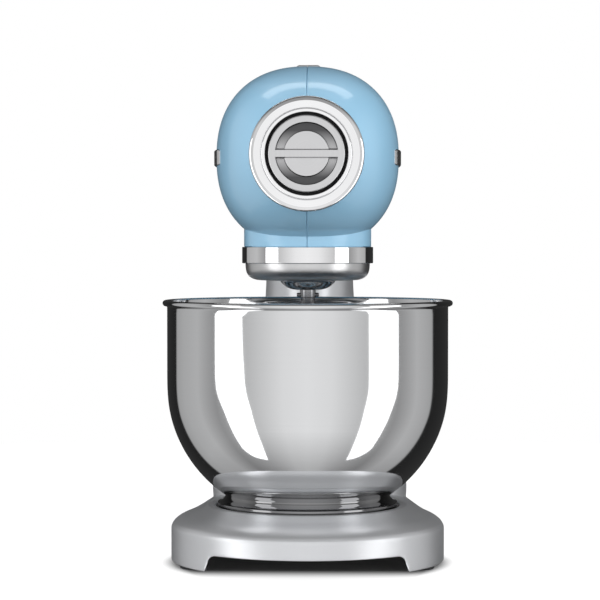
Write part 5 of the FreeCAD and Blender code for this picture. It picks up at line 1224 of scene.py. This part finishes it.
# Works inside the head: the cast gearbox frame, the gears and shafts, the motor and its control board.
# They keep their CAD shapes and show only through the slots and with the head raised.
cast_alloy = grained("cast_alloy", (0.42, 0.42, 0.43), (0.54, 0.54, 0.55), 0.95, (0.42, 0.55), 700.0, 0.06)
gear_steel = grained("hobbed_steel", (0.34, 0.34, 0.35), (0.44, 0.44, 0.45), 1.0, (0.26, 0.36), 1600.0, 0.01)
bronze = grained("sintered_bronze", (0.46, 0.30, 0.13), (0.58, 0.40, 0.20), 1.0, (0.35, 0.48), 1400.0, 0.02)
copper = grained("wound_copper", (0.52, 0.22, 0.10), (0.66, 0.32, 0.16), 1.0, (0.28, 0.40), 500.0, 0.05)
laminations = grained("stacked_laminations", (0.16, 0.16, 0.17), (0.26, 0.26, 0.27), 0.9, (0.40, 0.52),
                      900.0, 0.03)
carbon = grained("pressed_carbon", (0.015, 0.015, 0.016), (0.035, 0.035, 0.036), 0.0, (0.55, 0.70),
                 1100.0, 0.03)
board_coat = grained("board_coating", (0.012, 0.075, 0.030), (0.020, 0.105, 0.045), 0.0, (0.30, 0.42),
                     600.0, 0.02)
WORKS = {
    cast_alloy: ("gearbox_frame", "motor_front_bracket", "motor_rear_bracket"),
    gear_steel: ("planet_gear", "ring_gear", "crown_gear", "bevel_pinion", "main_gear", "counter_gear"),
    ground_steel: ("carrier_shaft", "main_shaft", "counter_shaft", "motor_shaft", "carrier_bearings",
                   "main_bearings", "motor_bearings"),
    bronze: ("tool_bush", "hinge_bushes"),
    copper: ("commutator", "stator_windings"),
    laminations: ("rotor_core", "motor_stator"),
    carbon: ("carbon_brushes",),
    black_plastic: ("cooling_fan", "brush_holders", "speed_potentiometer"),
    board_coat: ("control_board",),
}
for material, nodes in WORKS.items():
    for name in nodes:
        dress(name, material)

# Stage: a white floor, a tall lit panel at each side, a soft box overhead and weak fill lamps all round.
# The camera sees plain white round the object. The floor keeps the base's real shadow, and a painted shadow
# also takes the floor's glow away under the base and just round it, but not under the front arch.
# The polished pieces show a studio that is pale in front and dark behind.
scene = bpy.context.scene
scene.view_settings.view_transform = "Standard"
STUDIO_ROUND = [(-180, 0.04), (-135, 0.02), (-133, 0.42), (-120, 0.50), (-100, 0.56), (-80, 0.36),
                (-52, 0.60), (-38, 0.74), (-20, 0.92), (0, 0.98), (20, 0.92), (38, 0.74), (52, 0.60),
                (80, 0.36), (100, 0.56), (112, 0.50), (122, 0.44), (124, 0.02), (180, 0.04)]
STUDIO_HEIGHT = [(-90, 0.50), (-70, 0.60), (-35, 1.0), (25, 1.0), (42, 0.45), (60, 0.20), (90, 0.18)]
FLOOR_GLOW = 0.84
PAINTED_SHADOW_EDGE = (-0.006, 0.010)
PAINTED_SHADOW_FRONT = (-0.135, -0.180)
FLOOR_RADIUS = 0.95
FLOOR_SIDES = 96

world = bpy.data.worlds.new("studio")
scene.world = world
world.use_nodes = True
sky = world.node_tree
sky.nodes.clear()


def sky_ramp(source, stops):
    """Brightness along a list of (share, level) stops."""
    ramp = sky.nodes.new("ShaderNodeValToRGB")
    marks = ramp.color_ramp.elements
    while len(marks) < len(stops):
        marks.new(1.0)
    for mark, (share, level) in zip(marks, stops):
        mark.position = share
        mark.color = (level, level, level, 1.0)
    sky.links.new(source, ramp.inputs["Fac"])
    return ramp.outputs["Color"]


sky_way = sky.nodes.new("ShaderNodeTexCoord")
sky_split = sky.nodes.new("ShaderNodeSeparateXYZ")
sky.links.new(sky_way.outputs["Generated"], sky_split.inputs["Vector"])
sky_front = sum_node(sky, "MULTIPLY", sky_split.outputs["Y"], -1.0)
side_turn = sum_node(sky, "ARCTAN2", sky_split.outputs["X"], sky_front)
side_share = sum_node(sky, "ADD", sum_node(sky, "DIVIDE", side_turn, 2 * math.pi), 0.5)
around = sky_ramp(side_share, [((angle + 180) / 360, level) for angle, level in STUDIO_ROUND])
climb_turn = sum_node(sky, "ARCSINE", sky_split.outputs["Z"])
climb_share = sum_node(sky, "ADD", sum_node(sky, "DIVIDE", climb_turn, math.pi), 0.5)
upward = sky_ramp(climb_share, [((angle + 90) / 180, level) for angle, level in STUDIO_HEIGHT])
studio_air = sky.nodes.new("ShaderNodeBackground")
white_air = sky.nodes.new("ShaderNodeBackground")
white_air.inputs["Color"].default_value = (1.0, 1.0, 1.0, 1.0)
light_path = sky.nodes.new("ShaderNodeLightPath")
either = sky.nodes.new("ShaderNodeMixShader")
sky_out = sky.nodes.new("ShaderNodeOutputWorld")
for source, target in (
        (around, studio_air.inputs["Color"]), (upward, studio_air.inputs["Strength"]),
        (light_path.outputs["Is Camera Ray"], either.inputs["Fac"]),
        (studio_air.outputs["Background"], either.inputs[1]),
        (white_air.outputs["Background"], either.inputs[2]),
        (either.outputs["Shader"], sky_out.inputs["Surface"])):
    sky.links.new(source, target)

floor_material, floor_tree, floor_shader = node_tree("white_floor")
floor_shader.inputs["Base Color"].default_value = (0.35, 0.35, 0.35, 1.0)
floor_shader.inputs["Roughness"].default_value = 0.9
floor_shader.inputs["Specular IOR Level"].default_value = 0.0
floor_shader.inputs["Emission Color"].default_value = (1.0, 1.0, 1.0, 1.0)
floor_seen = floor_tree.nodes.new("ShaderNodeLightPath")
floor_way = floor_tree.nodes.new("ShaderNodeTexCoord")
floor_split = floor_tree.nodes.new("ShaderNodeSeparateXYZ")
floor_tree.links.new(floor_way.outputs["Object"], floor_split.inputs["Vector"])
outline_gaps = []
for middle, radius in ((BOWL_Y, FRONT_RADIUS), (COLUMN_Y, REAR_RADIUS)):
    away = floor_tree.nodes.new("ShaderNodeVectorMath")
    away.operation = "DISTANCE"
    away.inputs[1].default_value = (0.0, middle * MM, 0.0)
    floor_tree.links.new(floor_way.outputs["Object"], away.inputs[0])
    outline_gaps.append(sum_node(floor_tree, "SUBTRACT", away.outputs["Value"], radius * MM))
# Painted shadow: the glow fades out inside the base's outline and a little past it, and comes back in under
# the front arch.
glows = []
for source, limits in ((sum_node(floor_tree, "MINIMUM", *outline_gaps), PAINTED_SHADOW_EDGE),
                       (floor_split.outputs["Y"], PAINTED_SHADOW_FRONT)):
    glow = floor_tree.nodes.new("ShaderNodeMapRange")
    glow.interpolation_type = "SMOOTHSTEP"
    glow.inputs["From Min"].default_value, glow.inputs["From Max"].default_value = limits
    glow.inputs["To Max"].default_value = FLOOR_GLOW
    floor_tree.links.new(source, glow.inputs["Value"])
    glows.append(glow.outputs["Result"])
lit = sum_node(floor_tree, "MAXIMUM", *glows)
floor_tree.links.new(sum_node(floor_tree, "MULTIPLY", floor_seen.outputs["Is Camera Ray"], lit),
                     floor_shader.inputs["Emission Strength"])
floor_mesh = bpy.data.meshes.new("floor")
floor_turns = [2 * math.pi * step / FLOOR_SIDES for step in range(FLOOR_SIDES)]
floor_points = [(FLOOR_RADIUS * math.cos(turn), FLOOR_RADIUS * math.sin(turn), 0.0) for turn in floor_turns]
floor_mesh.from_pydata(floor_points, [], [tuple(range(FLOOR_SIDES))])
floor_mesh.materials.append(floor_material)
floor = put_in_scene("floor", floor_mesh)
floor.visible_glossy = False


def soft_box(name, spot, target, width, height, radiance):
    """A rectangular studio lamp that faces a target."""
    lamp = bpy.data.lights.new(name, "AREA")
    lamp.shape = "RECTANGLE"
    lamp.size = width
    lamp.size_y = height
    lamp.energy = radiance * math.pi * width * height
    holder = put_in_scene(name, lamp)
    holder.location = spot
    holder.rotation_euler = (Vector(target) - Vector(spot)).to_track_quat("-Z", "Y").to_euler()
    return holder


STRIP_AWAY = 1.1
STRIP_GLOW = 2.1
STRIP_LEFT = [(0.60, 51.5, 77.0), (0.17, 51.0, 76.0), (0.06, 48.2, 75.2), (-0.20, 44.2, 68.8),
              (-0.70, 44.5, 68.2), (-0.95, 45.5, 68.2), (-1.27, 48.2, 63.0), (-1.55, 51.0, 51.5)]
STRIP_RIGHT = [(0.60, 48.0, 75.5), (0.17, 48.4, 75.2), (0.06, 48.4, 74.8), (-0.20, 45.6, 70.0),
               (-0.70, 46.0, 68.3), (-0.95, 47.0, 68.3), (-1.29, 49.0, 61.7), (-1.57, 51.0, 51.5)]
strip_material, _, strip_shader = node_tree("lit_panel")
strip_shader.inputs["Base Color"].default_value = (0.0, 0.0, 0.0, 1.0)
strip_shader.inputs["Specular IOR Level"].default_value = 0.0
strip_shader.inputs["Emission Color"].default_value = (1.0, 1.0, 1.0, 1.0)
strip_shader.inputs["Emission Strength"].default_value = STRIP_GLOW
for label, side, rows in (("left", -1.0, STRIP_LEFT), ("right", 1.0, STRIP_RIGHT)):
    points = [(side * STRIP_AWAY * math.sin(math.radians(angle)),
               BOWL_Y * MM - STRIP_AWAY * math.cos(math.radians(angle)), height)
              for height, *edges in smooth_through(rows, 6) for angle in edges]
    faces = [(low, low + 1, low + 3, low + 2) for low in range(0, len(points) - 2, 2)]
    panel_mesh = bpy.data.meshes.new(f"strip_panel_{label}")
    panel_mesh.from_pydata(points, [], faces)
    panel_mesh.materials.append(strip_material)
    panel = put_in_scene(f"strip_panel_{label}", panel_mesh)
    panel.visible_camera = False
soft_box("top_box", (0.0, 0.515, 1.471), (0.0, -0.155, 0.357), 1.62, 0.19, 2.6)
for name, spot, target, width, height, radiance in (
        ("fill_above", (0.0, -0.3, 2.2), (0.0, -0.05, 0.0), 3.0, 3.0, 0.45),
        ("fill_front", (0.0, -2.2, 0.6), (0.0, -0.1, 0.3), 4.2, 1.8, 1.3),
        ("fill_left", (-1.7, -0.5, 0.6), (0.0, -0.1, 0.3), 1.4, 1.2, 2.0),
        ("fill_right", (1.7, -0.5, 0.6), (0.0, -0.1, 0.3), 1.4, 1.2, 3.0),
        ("fill_rear", (0.0, 2.2, 1.0), (0.0, 0.1, 0.3), 3.0, 1.8, 1.0)):
    soft_box(name, spot, target, width, height, radiance).visible_glossy = False

CAMERA_SPOT = (0.016, -1.7575, 0.243)
CAMERA_DIP = 1.48
CAMERA_TURN = 0.75
camera_data = bpy.data.cameras.new("camera")
camera_data.lens = 131.2
camera_data.sensor_width = 36.0
camera = put_in_scene("camera", camera_data)
camera.location = CAMERA_SPOT
camera.rotation_euler = (math.radians(90.0 - CAMERA_DIP), 0.0, math.radians(CAMERA_TURN))
scene.camera = camera
